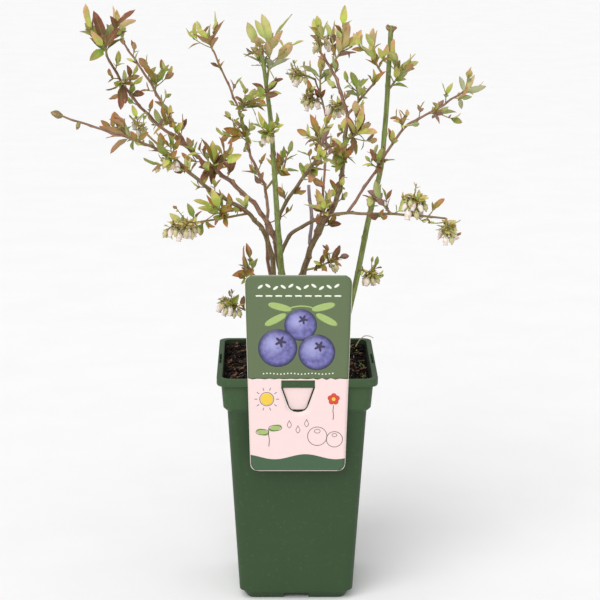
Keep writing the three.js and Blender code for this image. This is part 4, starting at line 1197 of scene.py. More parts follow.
def on_card(x, z, layer):
    """Points of the card, at a distance in front of it."""
    return np.stack((x + LABEL_SHIFT, np.full(np.shape(x), CARD.front - layer), z), axis=-1)


def print_field(skin, low, high, left, right, layer):
    """A printed field: rows between two heights, columns between two edges that are functions
    of the height; its lower and upper bounds may wave across the card."""
    rows, columns = 40, 24
    t, s = np.linspace(0, 1, rows)[:, None], np.linspace(0, 1, columns)[None]
    middle = mix(low(0.0), high(0.0), t)
    rough_x = mix(left(middle), right(middle), s)
    z = mix(low(rough_x), high(rough_x), t)
    points = on_card(mix(left(z), right(z), s), z, layer)
    skin.add(points.reshape(1, -1, 3), grid_faces(rows, columns))


def reach_within(inside, angle, z):
    """How far a shape reaches from the card's middle line at height z, at each angle, found
    by halving the stretch in which `inside` turns false."""
    near, far = np.zeros_like(angle), np.full_like(angle, 200.0)
    for _ in range(30):
        middle = (near + far) / 2
        within = inside(middle * np.cos(angle), z + middle * np.sin(angle))
        near, far = np.where(within, middle, near), np.where(within, far, middle)
    return near


def in_hole(x, z):
    """Whether a place of the lower field is in the tongue's hole or by its edge."""
    return (np.abs(x) < hole_half(z) + 0.35) & (z < 226.1) & (z > CARD.hole_bottom - 0.35)


def in_lower_field(x, z):
    """Whether a place is below the seam and inside the card's edges."""
    return (np.abs(x) < card_half(z)) & (z < seam(x)) & (z > CARD.bottom + CARD.bleed)


def print_ring(skin, z, hole, outline, layer):
    """A printed field round a hole: rings between two shapes, each told by a function that
    says whether it holds a place."""
    rings, sides = 12, 360
    angle = (np.arange(sides) + 0.5) / sides * 2 * np.pi
    inner, outer = (reach_within(shape, angle, z) for shape in (hole, outline))
    reach = mix(inner, outer, np.linspace(0, 1, rings)[:, None])
    points = on_card(reach * np.cos(angle), z + reach * np.sin(angle), layer)
    skin.add(points.reshape(1, -1, 3), wrapped_faces(rings, sides)[:, ::-1])


def circle(radius):
    """A round outline."""
    return lambda angle: np.full_like(angle, radius)


def oval(half, flat, tilt, point=0.0):
    """An elliptic outline at a tilt, which may run out to a point at both ends."""
    return lambda angle: half * flat * (1 + point * np.cos(angle - tilt) ** 8) / np.hypot(
        flat * np.cos(angle - tilt), np.sin(angle - tilt))


def star(radius):
    """A five-pointed outline."""
    return lambda angle: radius * (0.22 + 0.1 * np.cos(5 * angle + 0.6))


def print_shape(skin, x, z, outline, layer=CARD.overlay, sides=36):
    """A printed shape: a fan of rings between its middle and an outline, a function of angle
    that gives how far it reaches. The map runs from 0 to 1 across and up the shape."""
    angle = turns(sides)
    share = np.array([0.02, 0.3, 0.6, 0.85, 1.0])[:, None]
    reach = outline(angle) * share
    points = on_card(x + reach * np.cos(angle), z + reach * np.sin(angle), layer)
    faces = wrapped_faces(len(share), sides)
    u, v = 0.5 + 0.5 * share * np.cos(angle), 0.5 + 0.5 * share * np.sin(angle)
    maps = np.stack((u.ravel(), v.ravel()), axis=1)[faces]
    flat = np.concatenate((points.reshape(-1, 3), on_card(np.array([x]), np.array([z]), layer)))
    skin.add(flat[None], (faces[:, ::-1], maps[:, ::-1]), fan_faces(len(flat) - 1, 0, sides))


def print_line(skin, points, width, layer=CARD.overlay):
    """A printed line: a ribbon whose two edges lie half its width either side of a path."""
    path = np.array(points, float)
    run = unit(np.gradient(path, axis=0))
    across = np.stack((-run[:, 1], run[:, 0]), axis=1) * width / 2
    flat = np.stack((path + across, path - across), axis=1)
    skin.add(on_card(flat[..., 0], flat[..., 1], layer).reshape(1, -1, 3), grid_faces(len(path), 2))


def arc(x, z, radius, start=0, end=360, flat=1.0):
    """Points along an ellipse's arc, in degrees."""
    angle = np.radians(np.linspace(start, end, 40))
    return np.stack((x + radius * np.cos(angle), z + radius * flat * np.sin(angle)), axis=1)


# ---- finishes ---------------------------------------------------------------------------


def linear(colour):
    """A colour in Blender's linear values. A tuple holds eight-bit display values, any other
    sequence is linear as it is."""
    if not isinstance(colour, tuple):
        return list(colour)
    shares = (c / 255 for c in colour)
    return [c / 12.92 if c <= 0.04045 else ((c + 0.055) / 1.055) ** 2.4 for c in shares]


def overload(operation, reflected=False):
    """A method for one operation of the Math node, plain or with its terms the other way."""
    def method(self, other):
        return self.maths(operation, *((other, self) if reflected else (self, other)))

    return method


class Number:
    """A number socket of a finish: arithmetic on it adds the Math nodes."""

    __add__ = __radd__ = overload("ADD")
    __mul__ = __rmul__ = overload("MULTIPLY")
    __sub__, __rsub__ = overload("SUBTRACT"), overload("SUBTRACT", True)
    __truediv__, __pow__ = overload("DIVIDE"), overload("POWER")
    __lt__, __gt__ = overload("LESS_THAN"), overload("GREATER_THAN")

    def __init__(self, finish, socket):
        self.finish, self.socket = finish, socket

    def maths(self, operation, *terms):
        values = dict(enumerate(terms))
        return self.finish.node("ShaderNodeMath", {"operation": operation}, values)

    def __abs__(self):
        return self.maths("ABSOLUTE", self)

    def step(self, low, high):
        """A smooth rise from 0 at `low` to 1 at `high`."""
        settings = {"interpolation_type": "SMOOTHSTEP"}
        return self.finish.node("ShaderNodeMapRange", settings, {0: self, 1: low, 2: high})


class Finish:
    """A procedural material: its nodes are added through one method."""

    def __init__(self, name):
        self.material = bpy.data.materials.new(name)
        self.material.use_nodes = True
        self.tree = self.material.node_tree
        self.shader = self.tree.nodes["Principled BSDF"]

    def node(self, kind, settings=None, values=None, output=0):
        """A node of a kind: its settings first, then the values or links of its sockets."""
        made = self.tree.nodes.new(kind)
        for key, value in (settings or {}).items():
            setattr(made, key, value)
        for key, value in (values or {}).items():
            self.plug(made.inputs[key], value)
        return Number(self, made.outputs[output])

    def plug(self, socket, value):
        if isinstance(value, Number):
            self.tree.links.new(value.socket, socket)
        elif socket.type == "RGBA":
            socket.default_value = (*linear(value), 1.0)
        else:
            socket.default_value = value

    def place(self):
        """Object coordinates in millimetres, through a Mapping node."""
        source = self.node("ShaderNodeTexCoord", output="Object")
        return self.node("ShaderNodeMapping", None,
                         {"Vector": source, "Scale": (1 / MM, 1 / MM, 1 / MM)})

    def noise(self, vector, size, detail, roughness=0.55):
        values = {"Vector": vector, "Scale": 1 / size, "Detail": detail, "Roughness": roughness}
        return self.node("ShaderNodeTexNoise", None, values)

    def cells(self, vector, size):
        return self.node("ShaderNodeTexVoronoi", None, {"Vector": vector, "Scale": 1 / size})

    def parts(self, vector):
        """The x, y and z numbers of a vector."""
        split = self.node("ShaderNodeSeparateXYZ", None, {0: vector}).socket.node
        return tuple(Number(self, output) for output in split.outputs)

    def map(self):
        return self.parts(self.node("ShaderNodeUVMap", {"uv_map": "place"}))[:2]

    def wound(self, tight, stretch):
        """A seamless place on a tube from its map: the point of a circle at u, and v, which
        is in millimetres along it."""
        u, v = self.map()
        turn = u * (2 * math.pi)
        values = {0: turn.maths("COSINE", turn) * tight, 1: turn.maths("SINE", turn) * tight,
                  2: v / stretch}
        return self.node("ShaderNodeCombineXYZ", None, values)

    def blend(self, share, first, second):
        """A colour between two colours."""
        made = self.node("ShaderNodeMix", {"data_type": "RGBA"}).socket.node
        self.plug(made.inputs["Factor"], share)
        for socket, value in zip([s for s in made.inputs if s.type == "RGBA"], (first, second)):
            self.plug(socket, value)
        return Number(self, next(s for s in made.outputs if s.type == "RGBA"))

    def bump(self, height, distance, strength):
        values = {"Height": height, "Distance": distance * MM, "Strength": strength}
        return self.node("ShaderNodeBump", None, values)

    def done(self, **sockets):
        """Sets the shader's sockets, whose names are given with underscores."""
        for key, value in sockets.items():
            self.plug(self.shader.inputs[key.replace("_", " ")], value)
        return self.material


def pot_finish(settings):
    """Matte moulded polypropylene: faint cloudiness, a fine moulded grain, pale specks and painted
    light on the collar over a body in painted shade; the inner wall above the peat is painted dark
    as painted shade, darker towards the peat, with noisy patches of soil stain."""
    finish = Finish("pot plastic")
    place = finish.place()
    x, y, z = finish.parts(place)
    cloud = finish.noise(place, 38, 4)
    grain = finish.noise(place, 0.9, 2)
    specks = finish.noise(place, 2.1, 1) > 0.74
    # Painted light and shade: the collar is painted lighter, and the body below it takes the shade
    # colour; the cloud adds random tone.
    light = z.step(188, 198) * 0.55 + cloud * 0.3
    colour = finish.blend(light, settings.shade, settings.colour)
    dust = finish.noise(place, 5, 5).step(0.55, 0.8) * 0.08 + specks * 0.14
    colour = finish.blend(dust, colour, settings.dust)
    past_x, past_y = (part.maths("MAXIMUM", abs(part) - 61.5, 0.0) for part in (x, y))
    reach = (past_x * past_x + past_y * past_y) ** 0.5
    # Painted shade: the inner wall above the peat is darkened all over and more towards the peat;
    # the noise patches are soil stain.
    inside = (reach < z * 0.0767 - 8.2) * (z > 204.0)
    painted_shade_and_stain = 0.42 + z.step(226, 214) * 0.33 + finish.noise(place, 3.5, 5).step(0.45, 0.65) * 0.25
    colour = finish.blend(inside * painted_shade_and_stain, colour, (9, 10, 7))
    return finish.done(Base_Color=colour, Roughness=0.44 + grain * 0.16,
                       Normal=finish.bump(grain, 0.1, 0.5), Specular_IOR_Level=0.32)


def peat_finish(settings):
    """Moist peat: near black patches that stand in for the shaded hollows, as painted shade over
    the peat's own dark tone, brown crumbs and short pale bits.
    """
    finish = Finish("peat")
    place = finish.place()
    coarse = finish.noise(place, 5, 6, 0.65)
    fine = finish.noise(place, 1.3, 5, 0.7)
    # Painted shade: near black patches set by noise stand in for shaded hollows, over the moist
    # peat's own dark brown.
    colour = finish.blend(coarse.step(0.35, 0.7), settings.dark, settings.colour)
    colour = finish.blend(fine.step(0.56, 0.72) * 0.65, colour, settings.crumb)
    colour = finish.blend((finish.cells(place, 1.9) < 0.22) * (coarse > 0.52), colour,
                          settings.bits)
    rough = 0.78 + fine * 0.2
    return finish.done(Base_Color=colour, Roughness=rough, Specular_IOR_Level=0.2,
                       Normal=finish.bump(coarse + fine * 0.6, 1.2, 0.9))


def plain_finish(name, low, high, size, rough, grain=0.3):
    """A plant finish of two near colours clouded by noise, with a fine grain."""
    finish = Finish(name)
    place = finish.place()
    cloud = finish.noise(place, size, 4)
    fine = finish.noise(place, size * 0.22, 3)
    colour = finish.blend(cloud.step(0.32, 0.68), low, high)
    return finish.done(Base_Color=colour, Roughness=rough + fine * 0.15,
                       Normal=finish.bump(fine, grain, 0.6))


def bark_finish(name, low, high, streak, rough, depth, lenticels):
    """Bark: two colours in lengthwise streaks, patches of the first and pale, raised pores."""
    finish = Finish(name)
    streaks = finish.noise(finish.wound(1.5, 9), 1.0, 5, 0.65)
    fine = finish.noise(finish.wound(5, 2.2), 1.0, 3)
    patches = finish.noise(finish.wound(0.5, 24), 1.0, 4)
    pores = finish.cells(finish.wound(1.6, 2.4), 1.0)
    colour = finish.blend((streaks * 0.7 + fine * 0.3).step(0.36, 0.64), low, high)
    colour = finish.blend(patches.step(0.52, 0.7) * streak, colour, low)
    colour = finish.blend((pores < 0.16) * lenticels, colour, (190, 174, 140))
    height = streaks + fine * 0.35 + (pores < 0.19) * 0.4
    return finish.done(Base_Color=colour, Roughness=rough + streaks * 0.15,
                       Normal=finish.bump(height, depth, 0.7), Specular_IOR_Level=0.35)


def leaf_finish(name, base, tip, under):
    """A leaf: one tint that warms towards the tip and margin and deepens from leaf to leaf, a
    pale rib, side veins at a slant, faint mottling and a greyer underside."""
    finish = Finish(name)
    across, along = finish.map()
    is_under = across > 1.0
    centre = abs(across - is_under - 0.5) * 2
    warm = along.step(0.25, 1.0) * 0.75 + centre.step(0.45, 1.0) * 0.45
    place = finish.place()
    mottle = finish.noise(place, 4.5, 3)
    depth = finish.noise(place, 12, 2).step(0.42, 0.62)
    deep = [0.42 * c for c in linear(base)]
    colour = finish.blend(warm + (mottle - 0.5) * 0.5, base, tip)
    colour = finish.blend(depth * 0.42, colour, deep)
    slant = (along - centre * 0.12) * 9
    vein = abs(slant - slant.maths("ROUND", slant)).step(0.1, 0.0)
    rib = centre.step(0.12, 0.02)
    pale = finish.blend(0.5, base, (196, 206, 140))
    colour = finish.blend((rib * 0.6 + vein * 0.16) * (1 - along * 0.6), colour, pale)
    colour = finish.blend(is_under * 0.42, colour, under)
    relief = rib * (is_under * 2 - 1) + vein * (is_under - 0.5) * 0.6 + mottle * 0.2
    return finish.done(Base_Color=colour, Roughness=0.42 + is_under * 0.2 + mottle * 0.08,
                       Normal=finish.bump(relief, 0.18, 0.7), Specular_IOR_Level=0.25)


def petal_finish(name, colour, blush, throat):
    """Waxy petals: clouded with a blush and flecked with green, both by noise."""
    finish = Finish(name)
    place = finish.place()
    cloud = finish.noise(place, 3.2, 3)
    tone = finish.blend(cloud.step(0.45, 0.75) * 0.8, colour, blush)
    fleck = finish.noise(place, 1.2, 2).step(0.6, 0.8) * 0.35
    tone = finish.blend(fleck, tone, throat)
    return finish.done(Base_Color=tone, Roughness=0.4 + cloud * 0.12,
                       Normal=finish.bump(cloud, 0.15, 0.5))


def print_finish(name, colour, other):
    """Printed card: a flat ink with the faintest mottle under a satin varnish."""
    finish = Finish(name)
    place = finish.place()
    cloud = finish.noise(place, 2.2, 4)
    tone = finish.blend(cloud * 0.5, colour, other)
    return finish.done(Base_Color=tone, Roughness=0.36 + cloud * 0.08,
                       Normal=finish.bump(finish.noise(place, 0.7, 2), 0.02, 0.4))


def card_finish(settings):
    """The card: pale board with a faint fleck, and the upper field's green on its back."""
    finish = Finish("card board")
    place = finish.place()
    fleck = finish.noise(place, 3, 4)
    board = finish.blend(fleck * 0.5, settings.board, (206, 204, 190))
    back = finish.parts(place)[1] > CARD.front + 0.45
    colour = finish.blend(back, board, settings.field)
    return finish.done(Base_Color=colour, Roughness=0.4 + fleck * 0.1,
                       Normal=finish.bump(fleck, 0.02, 0.4))


def berry_finish():
    """Printed berries: blue violet under a patchy bloom, lit from the upper left and dark at
    the rim, as a ball is."""
    finish = Finish("printed berries")
    across, up = finish.map()
    place = finish.place()
    bloom = finish.noise(place, 4.5, 5)
    from_light = ((across - 0.38) ** 2.0 + (up - 0.62) ** 2.0) ** 0.5
    from_middle = ((across - 0.5) ** 2.0 + (up - 0.5) ** 2.0) ** 0.5
    tone = finish.blend(bloom.step(0.3, 0.7), (84, 80, 138), (118, 116, 176))
    tone = finish.blend(from_light.step(0.42, 0.0) * 0.75, tone, (168, 168, 216))
    tone = finish.blend(from_middle.step(0.36, 0.5) * 0.85, tone, (38, 36, 70))
    return finish.done(Base_Color=tone, Roughness=0.38 + bloom * 0.06)


# ---- settings ---------------------------------------------------------------------------


def colour_setting(name, description, *rgb):
    return FloatVectorProperty(name=name, description=description, subtype="COLOR", size=3,
                               min=0.0, max=1.0, default=linear(rgb))


def number_setting(name, description, default, **more):
    return FloatProperty(name=name, description=description, default=default, min=0.0, **more)


def count_setting(name, description, default):
    return IntProperty(name=name, description=description, default=default, min=0)


class BushPotSettings(bpy.types.PropertyGroup):
    """Sizes and colours of the pot."""

    edge: number_setting("Edge", "Width of the softened edges", 0.0004, unit="LENGTH")
    colour: colour_setting("Plastic", "The pot's own green", 58, 84, 49)
    # Painted shade: the pot's body below the collar takes this colour, and the noise cloud mixes it
    # in too.
    shade: colour_setting("Shade", "The darker cloud in the plastic", 43, 67, 37)
    dust: colour_setting("Dust", "Pale dust and specks", 138, 148, 124)


class BushPeatSettings(bpy.types.PropertyGroup):
    """Sizes and colours of the peat."""

    crumbs: count_setting("Crumbs", "How many loose crumbs", 900)
    chips: count_setting("Chips", "How many chips of bark", 220)
    fibres: count_setting("Fibres", "How many loose fibres", 260)
    crumb_size: number_setting("Crumb size", "Radius of the largest crumbs", 0.0026, unit="LENGTH")
    # Painted shade: the near black of the noise patches that stand in for shaded hollows.
    dark: colour_setting("Hollows", "The darkest peat", 4, 3, 2)
    colour: colour_setting("Peat", "The peat's own brown", 21, 15, 12)
    crumb: colour_setting("Crumb", "Drier crumbs", 60, 42, 32)
    bits: colour_setting("Bits", "Pale bits in the peat", 158, 124, 88)


class BushLabelSettings(bpy.types.PropertyGroup):
    """Colours of the card."""

    board: colour_setting("Board", "The card's bare board", 226, 224, 212)
    field: colour_setting("Field", "The print above the hinge", 88, 103, 70)
    lower: colour_setting("Lower field", "The print below the hinge", 234, 210, 208)
    dark: colour_setting("Dark ink", "The band at the card's foot", 54, 84, 56)


class BushStemSettings(bpy.types.PropertyGroup):
    """Colours of the barks."""

    cane: colour_setting("Cane", "Green canes", 134, 152, 80)
    olive: colour_setting("Olive", "Olive bark", 142, 126, 86)
    brown: colour_setting("Brown", "Brown bark", 166, 132, 106)
    grey: colour_setting("Grey", "Dead wood", 168, 156, 158)
    twig: colour_setting("Twig", "Young twigs", 164, 166, 98)


class BushLeafSettings(bpy.types.PropertyGroup):
    """The leaves' tints."""

    lime: colour_setting("Lime", "Youngest leaves", 184, 206, 84)
    green: colour_setting("Green", "Settled leaves", 136, 166, 66)
    sage: colour_setting("Sage", "Greyer leaves", 154, 174, 104)
    blush: colour_setting("Blush", "Young leaves with peach tips", 186, 196, 92)
    bronze: colour_setting("Bronze", "Reddening leaves", 146, 138, 60)
    plum: colour_setting("Plum", "Dark red leaves", 116, 92, 54)


class BushBlossomSettings(bpy.types.PropertyGroup):
    """Colours of the blossom."""

    petal: colour_setting("Petal", "The bells", 232, 222, 212)
    blush: colour_setting("Blush", "Pink of the bells", 206, 158, 156)
    cup: colour_setting("Cup", "The bells' cups", 158, 166, 96)


class BushStageSettings(bpy.types.PropertyGroup):
    """The studio."""

    floor: colour_setting("Floor", "The pale floor", 250, 250, 250)
    key: number_setting("Key", "Strength of the broad key light", 1.95)
    fill: number_setting("Fill", "Power of the fill light", 2.5, unit="POWER")
    sky: number_setting("Surround", "Strength of the white surround", 0.6)


# ---- operators --------------------------------------------------------------------------

# The leaves' tints: the colour of a leaf's tip and that of its underside.
TINTS = {
    "lime": ((214, 178, 118), (200, 204, 150)),
    "green": ((166, 138, 84), (176, 182, 138)),
    "sage": ((172, 146, 118), (180, 180, 154)),
    "blush": ((228, 158, 126), (216, 186, 156)),
    "bronze": ((188, 96, 62), (192, 156, 130)),
    "plum": ((152, 76, 64), (184, 150, 148)),
}
BODY = "root"
_grown = {}


def bush():
    """The bush's growth, worked out once."""
    if not _grown:
        _grown["growths"], _grown["stems"] = grow_bush()
    return _grown["growths"], _grown["stems"]


def dress(piece, slot, *nodes):
    """A finished piece rides on the part and stands for its nodes, which are hidden; its slot is
    not used.
    """
    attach(piece, BODY)
    if nodes:
        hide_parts(*nodes)
    return piece


def tube_piece(name, finish, slot, *tubes, nodes=()):
    """A piece of closed tubes. Each entry is their rings, or those and the v of their map."""
    skin = Skin()
    for rings in tubes:
        skin.tubes(*rings if isinstance(rings, tuple) else (rings,))
    return dress(skin.build(name, finish), slot, *nodes)


def printed(skin, name, finish):
    """Builds the prints of one ink as a thin layer on the card."""
    piece = dress(skin.build(name, finish), "label")
    modifier = piece.modifiers.new("thickness", "SOLIDIFY")
    modifier.thickness, modifier.offset = CARD.ink * MM, -1.0


class BUSH_OT_pot(bpy.types.Operator):
    """Copy the pot with softened edges and give it its moulded plastic"""

    bl_idname = "bush.pot"
    bl_label = "Pot"

    def execute(self, context):
        settings = context.scene.bush_pot
        mesh = bmesh.new()
        mesh.from_mesh(frame["nodes"]["pot"].data)
        bmesh.ops.remove_doubles(mesh, verts=mesh.verts, dist=1e-6)
        bmesh.ops.dissolve_limit(mesh, angle_limit=math.radians(1), verts=mesh.verts,
                                 edges=mesh.edges)
        for face in mesh.faces:
            face.smooth = True
        data = bpy.data.meshes.new("moulded_pot")
        mesh.to_mesh(data)
        mesh.free()
        data.materials.append(pot_finish(settings))
        piece = bpy.data.objects.new("moulded_pot", data)
        context.scene.collection.objects.link(piece)
        sharpen(piece, 32)
        bevel = piece.modifiers.new("soft edges", "BEVEL")
        bevel.width, bevel.segments = settings.edge, 2
        bevel.limit_method, bevel.angle_limit = "ANGLE", math.radians(38)
        bevel.harden_normals = True
        dress(piece, "pot", "pot")

        skin = Skin()
        skin.tubes(np.array([rib_rings(side, along) for side in range(4) for along in RIM_RIBS
                             if side or along]))
        ribs = skin.build("rim_ribs", data.materials[0], smooth=False)
        dress(ribs, "pot")
        return {"FINISHED"}


class BUSH_OT_peat(bpy.types.Operator):
    """Fill the pot with lumpy peat, loose crumbs, fibres, a bent straw and some moss"""

    bl_idname = "bush.peat"
    bl_label = "Peat"

    def execute(self, context):
        settings = context.scene.bush_peat
        rng = np.random.default_rng(7)

        def scattered(count, margin):
            """Random places on the peat, all at least `margin` from its wall."""
            return rng.uniform(-1, 1, (count, 2)) * (PEAT.half - margin)

        places = scattered(settings.crumbs, 4)
        size = settings.crumb_size / MM * (0.28 + 0.72 * rng.random(settings.crumbs) ** 2.2)
        tube_piece("peat", peat_finish(settings), "soil", peat_points(),
                   crumb_points(places, size, 0.35 * size, 3), nodes=["soil"])

        places = scattered(settings.chips, 5)
        size = rng.uniform(1.0, 3.0, settings.chips)
        finish = plain_finish("bark chips", (22, 14, 10), (132, 86, 60), 3.4, 0.7, 0.5)
        tube_piece("bark_chips", finish, "soil",
                   crumb_points(places, size, 0.5, 5, (2.1, 0.8, 0.45)))

        count = settings.fibres
        places = scattered(count, 6)
        angles, lengths = rng.uniform(0, 2 * np.pi, count), rng.uniform(4, 15, count)
        radii, lift = rng.uniform(0.18, 0.5, count), rng.uniform(0, 2.2, count)
        finish = plain_finish("peat fibres", (34, 22, 16), (124, 86, 58), 6, 0.75)
        tube_piece("peat_fibres", finish, "soil",
                   fibre_rings(places, angles, lengths, radii, lift, 4))

        pale = count // 6
        bits = fibre_rings(rng.uniform(-60, 60, (pale, 2)), angles[:pale], lengths[:pale] * 0.8,
                           radii[:pale] * 0.8, lift[:pale], 6)
        finish = plain_finish("straw", (176, 160, 116), (214, 204, 160), 3, 0.6)
        tube_piece("straw", finish, "soil", bits, straw_rings())

        places = np.concatenate([rng.normal(0, 3.6, (24, 2)) + spot for spot in MOSS])
        places = np.clip(places, -PEAT.half + 4, PEAT.half - 4)
        size = rng.uniform(0.5, 1.3, len(places))
        finish = plain_finish("moss", (70, 84, 38), (134, 146, 74), 1.6, 0.85)
        tube_piece("moss", finish, "soil", crumb_points(places, size, 0.5, 8))
        return {"FINISHED"}


def print_fields(settings):
    """The card's two printed fields and its tongue's."""
    upper, lower, tongue = (Skin() for _ in range(3))
    print_field(upper, seam, level(CARD.top - CARD.bleed), card_edge(-1), card_edge(1),
                CARD.layer)
    printed(upper, "print_upper_field",
            print_finish("olive ink", settings.field, (97, 112, 77)))
    print_ring(lower, CARD.hole, in_hole, in_lower_field, CARD.layer)
    finish = print_finish("pink ink", settings.lower, (226, 198, 196))
    printed(lower, "print_lower_field", finish)
    print_field(tongue, level(197.0), level(218.0), tongue_edge(-1), tongue_edge(1),
                CARD.tongue + CARD.layer)
    printed(tongue, "print_tongue", finish)


def print_motifs(settings):
    """The card's drawings, ink by ink."""
    berries, crowns, sprig, band, lines, flower, yellow, pale = (Skin() for _ in range(8))
    for k, (x, z, radius) in enumerate(BERRIES):
        above = CARD.overlay + 0.06 * k
        print_shape(berries, x, z, circle(radius), above)
        print_shape(crowns, x + radius * 0.15, z + radius * 0.34, star(radius), above + 0.05)
    printed(berries, "print_berries", berry_finish())
    printed(crowns, "print_berry_crowns", ink("dark violet ink"))

    for x, z, half, degrees in SPRIG:
        print_shape(sprig, x, z, oval(half, 0.36, math.radians(degrees), 0.25))
    for x, z, half, degrees in SEEDLING:
        print_shape(sprig, x, z, oval(half, 0.5, math.radians(degrees)))
    print_line(sprig, arc(3, 276, 26, 52, 128, 0.8), 1.3, 0.07)
    printed(sprig, "print_sprig", ink("leaf ink"))

    print_field(band, level(CARD.bottom + 0.6), crest, card_edge(-1, 0.35),
                card_edge(1, 0.35), CARD.overlay)
    printed(band, "print_band",
            print_finish("dark green ink", settings.dark, (66, 98, 66)))
    for points, width in card_lines():
        print_line(lines, points, width)
    printed(lines, "print_lines", ink("line ink"))

    x, z = BLOOM
    for k in range(5):
        turn = 0.3 + k * 0.4 * math.pi
        print_shape(flower, x + 3.1 * math.cos(turn), z + 3.1 * math.sin(turn),
                    circle(2.7), CARD.overlay + 0.005 * k, 18)
    printed(flower, "print_flower", ink("red ink"))
    print_shape(yellow, x, z, circle(1.8), 0.2, 16)
    print_shape(yellow, *SUN, circle(5.8), CARD.overlay, 30)
    printed(yellow, "print_yellow_marks", ink("yellow ink"))

    for k in range(21):
        z = 232.5 + 0.4 * math.sin(k)
        print_shape(pale, -32 + k * 3.2, z, circle(0.7), CARD.overlay, 10)
    for k in range(9):
        print_line(pale, arc(-36 + k * 9, 306, 3, 8, 172, 0.16), 1.5)
    for k in range(11):
        z = 315 + 1.2 * math.sin(k * 2.1)
        print_shape(pale, -35 + k * 7, z, oval(2.9, 0.4, (-1) ** k * 0.6), CARD.overlay, 18)
    printed(pale, "print_pale_marks", ink("pale ink"))


class BUSH_OT_label(bpy.types.Operator):
    """Finish the card and lay its print on it: its fields and, ink by ink, its drawings"""

    bl_idname = "bush.label"
    bl_label = "Label"

    def execute(self, context):
        settings = context.scene.bush_label
        node = frame["nodes"]["label"]
        node.data.materials.clear()
        node.data.materials.append(card_finish(settings))
        print_fields(settings)
        print_motifs(settings)
        return {"FINISHED"}


# The card's drawings: berries by place and radius, leaves by place, half length and tilt.
BERRIES = [(2, 279, 15), (-19, 257, 18), (17, 253, 17)]
SPRIG = [(23, 296, 9, 14), (26, 284, 9, -28), (-17, 296, 9, 166), (-21, 284, 9, 208)]
SEEDLING = [(-33, 176, 6, 160), (-21, 180, 6, 20)]
SUN, BLOOM = (-29, 208), (33, 208)
INKS = {
    "dark violet ink": ((58, 48, 84), (44, 38, 66)),
    "leaf ink": ((164, 186, 112), (128, 156, 84)),
    "line ink": ((92, 86, 84), (70, 66, 66)),
    "red ink": ((206, 70, 48), (186, 56, 44)),
    "yellow ink": ((232, 196, 64), (222, 182, 52)),
    "pale ink": ((232, 236, 220), (214, 220, 200)),
}


def ink(name):
    return print_finish(name, *INKS[name])


def crest(x):
    """The wavy upper bound of the dark band at the card's foot."""
    return 152.0 + 2.5 * np.sin(x * 0.11 + 0.8)


def card_lines():
    """The lower field's line motifs: a sun, a flower's stalk, a seedling, drops and berries."""
    lines = [(arc(*SUN, 6.5), 0.6)]
    for angle in turns(10):
        way = np.array((math.cos(angle), math.sin(angle)))
        lines.append(([SUN + reach * way for reach in (8.6, 11.4)], 0.6))
    side = np.linspace(0, 1, 24)
    lines.append(([(33, 202), (32.4, 197), (33, 192), (32.6, 188)], 0.7))
    drop = np.stack((2.6 * np.sin(np.pi * side) * side**0.6, 7.5 * (1 - side)), axis=1)
    for x, z in ((-8, 180), (0, 175), (8, 181)):
        for sign in (-1, 1):
            lines.append((drop * (sign, 1) + (x, z), 0.5))
    lines.append(([(-27, 162), (-26.5, 168), (-27.4, 174), (-27, 180)], 0.7))
    for sign, z in ((-1, 174), (1, 178)):
        lines.append((arc(-27 + 6 * sign, z + 2, 6, 0, 360, 0.45), 0.55))
    for x, z, radius in ((18, 172, 9), (34, 169, 7.5)):
        lines.append((arc(x, z, radius), 0.6))
        lines.append((arc(x, z + radius * 0.55, radius * 0.3, flat=0.7), 0.5))
    return lines


LIMB_SHIFT, TWIG_SHIFT = 531, 37  # how far on the bark's pattern starts from piece to piece


class BUSH_OT_stems(bpy.types.Operator):
    """Grow the bark of the canes, stems and boughs, one piece for each bark"""

    bl_idname = "bush.stems"
    bl_label = "Stems and boughs"

    def execute(self, context):
        settings = context.scene.bush_stems
        for key, bark in BARKS.items():
            names = [spec.name for spec in LIMBS if spec.bark == key]
            skins = [limb_rings(spec) for spec in LIMBS if spec.bark == key]
            tubes = [(rings, along + i * LIMB_SHIFT) for i, (rings, along) in enumerate(skins)]
            finish = bark_finish(bark.finish, bark.streak, getattr(settings, key),
                                 *bark.looks)
            tube_piece(bark.piece, finish, bark.slot, *tubes, nodes=names)
        return {"FINISHED"}


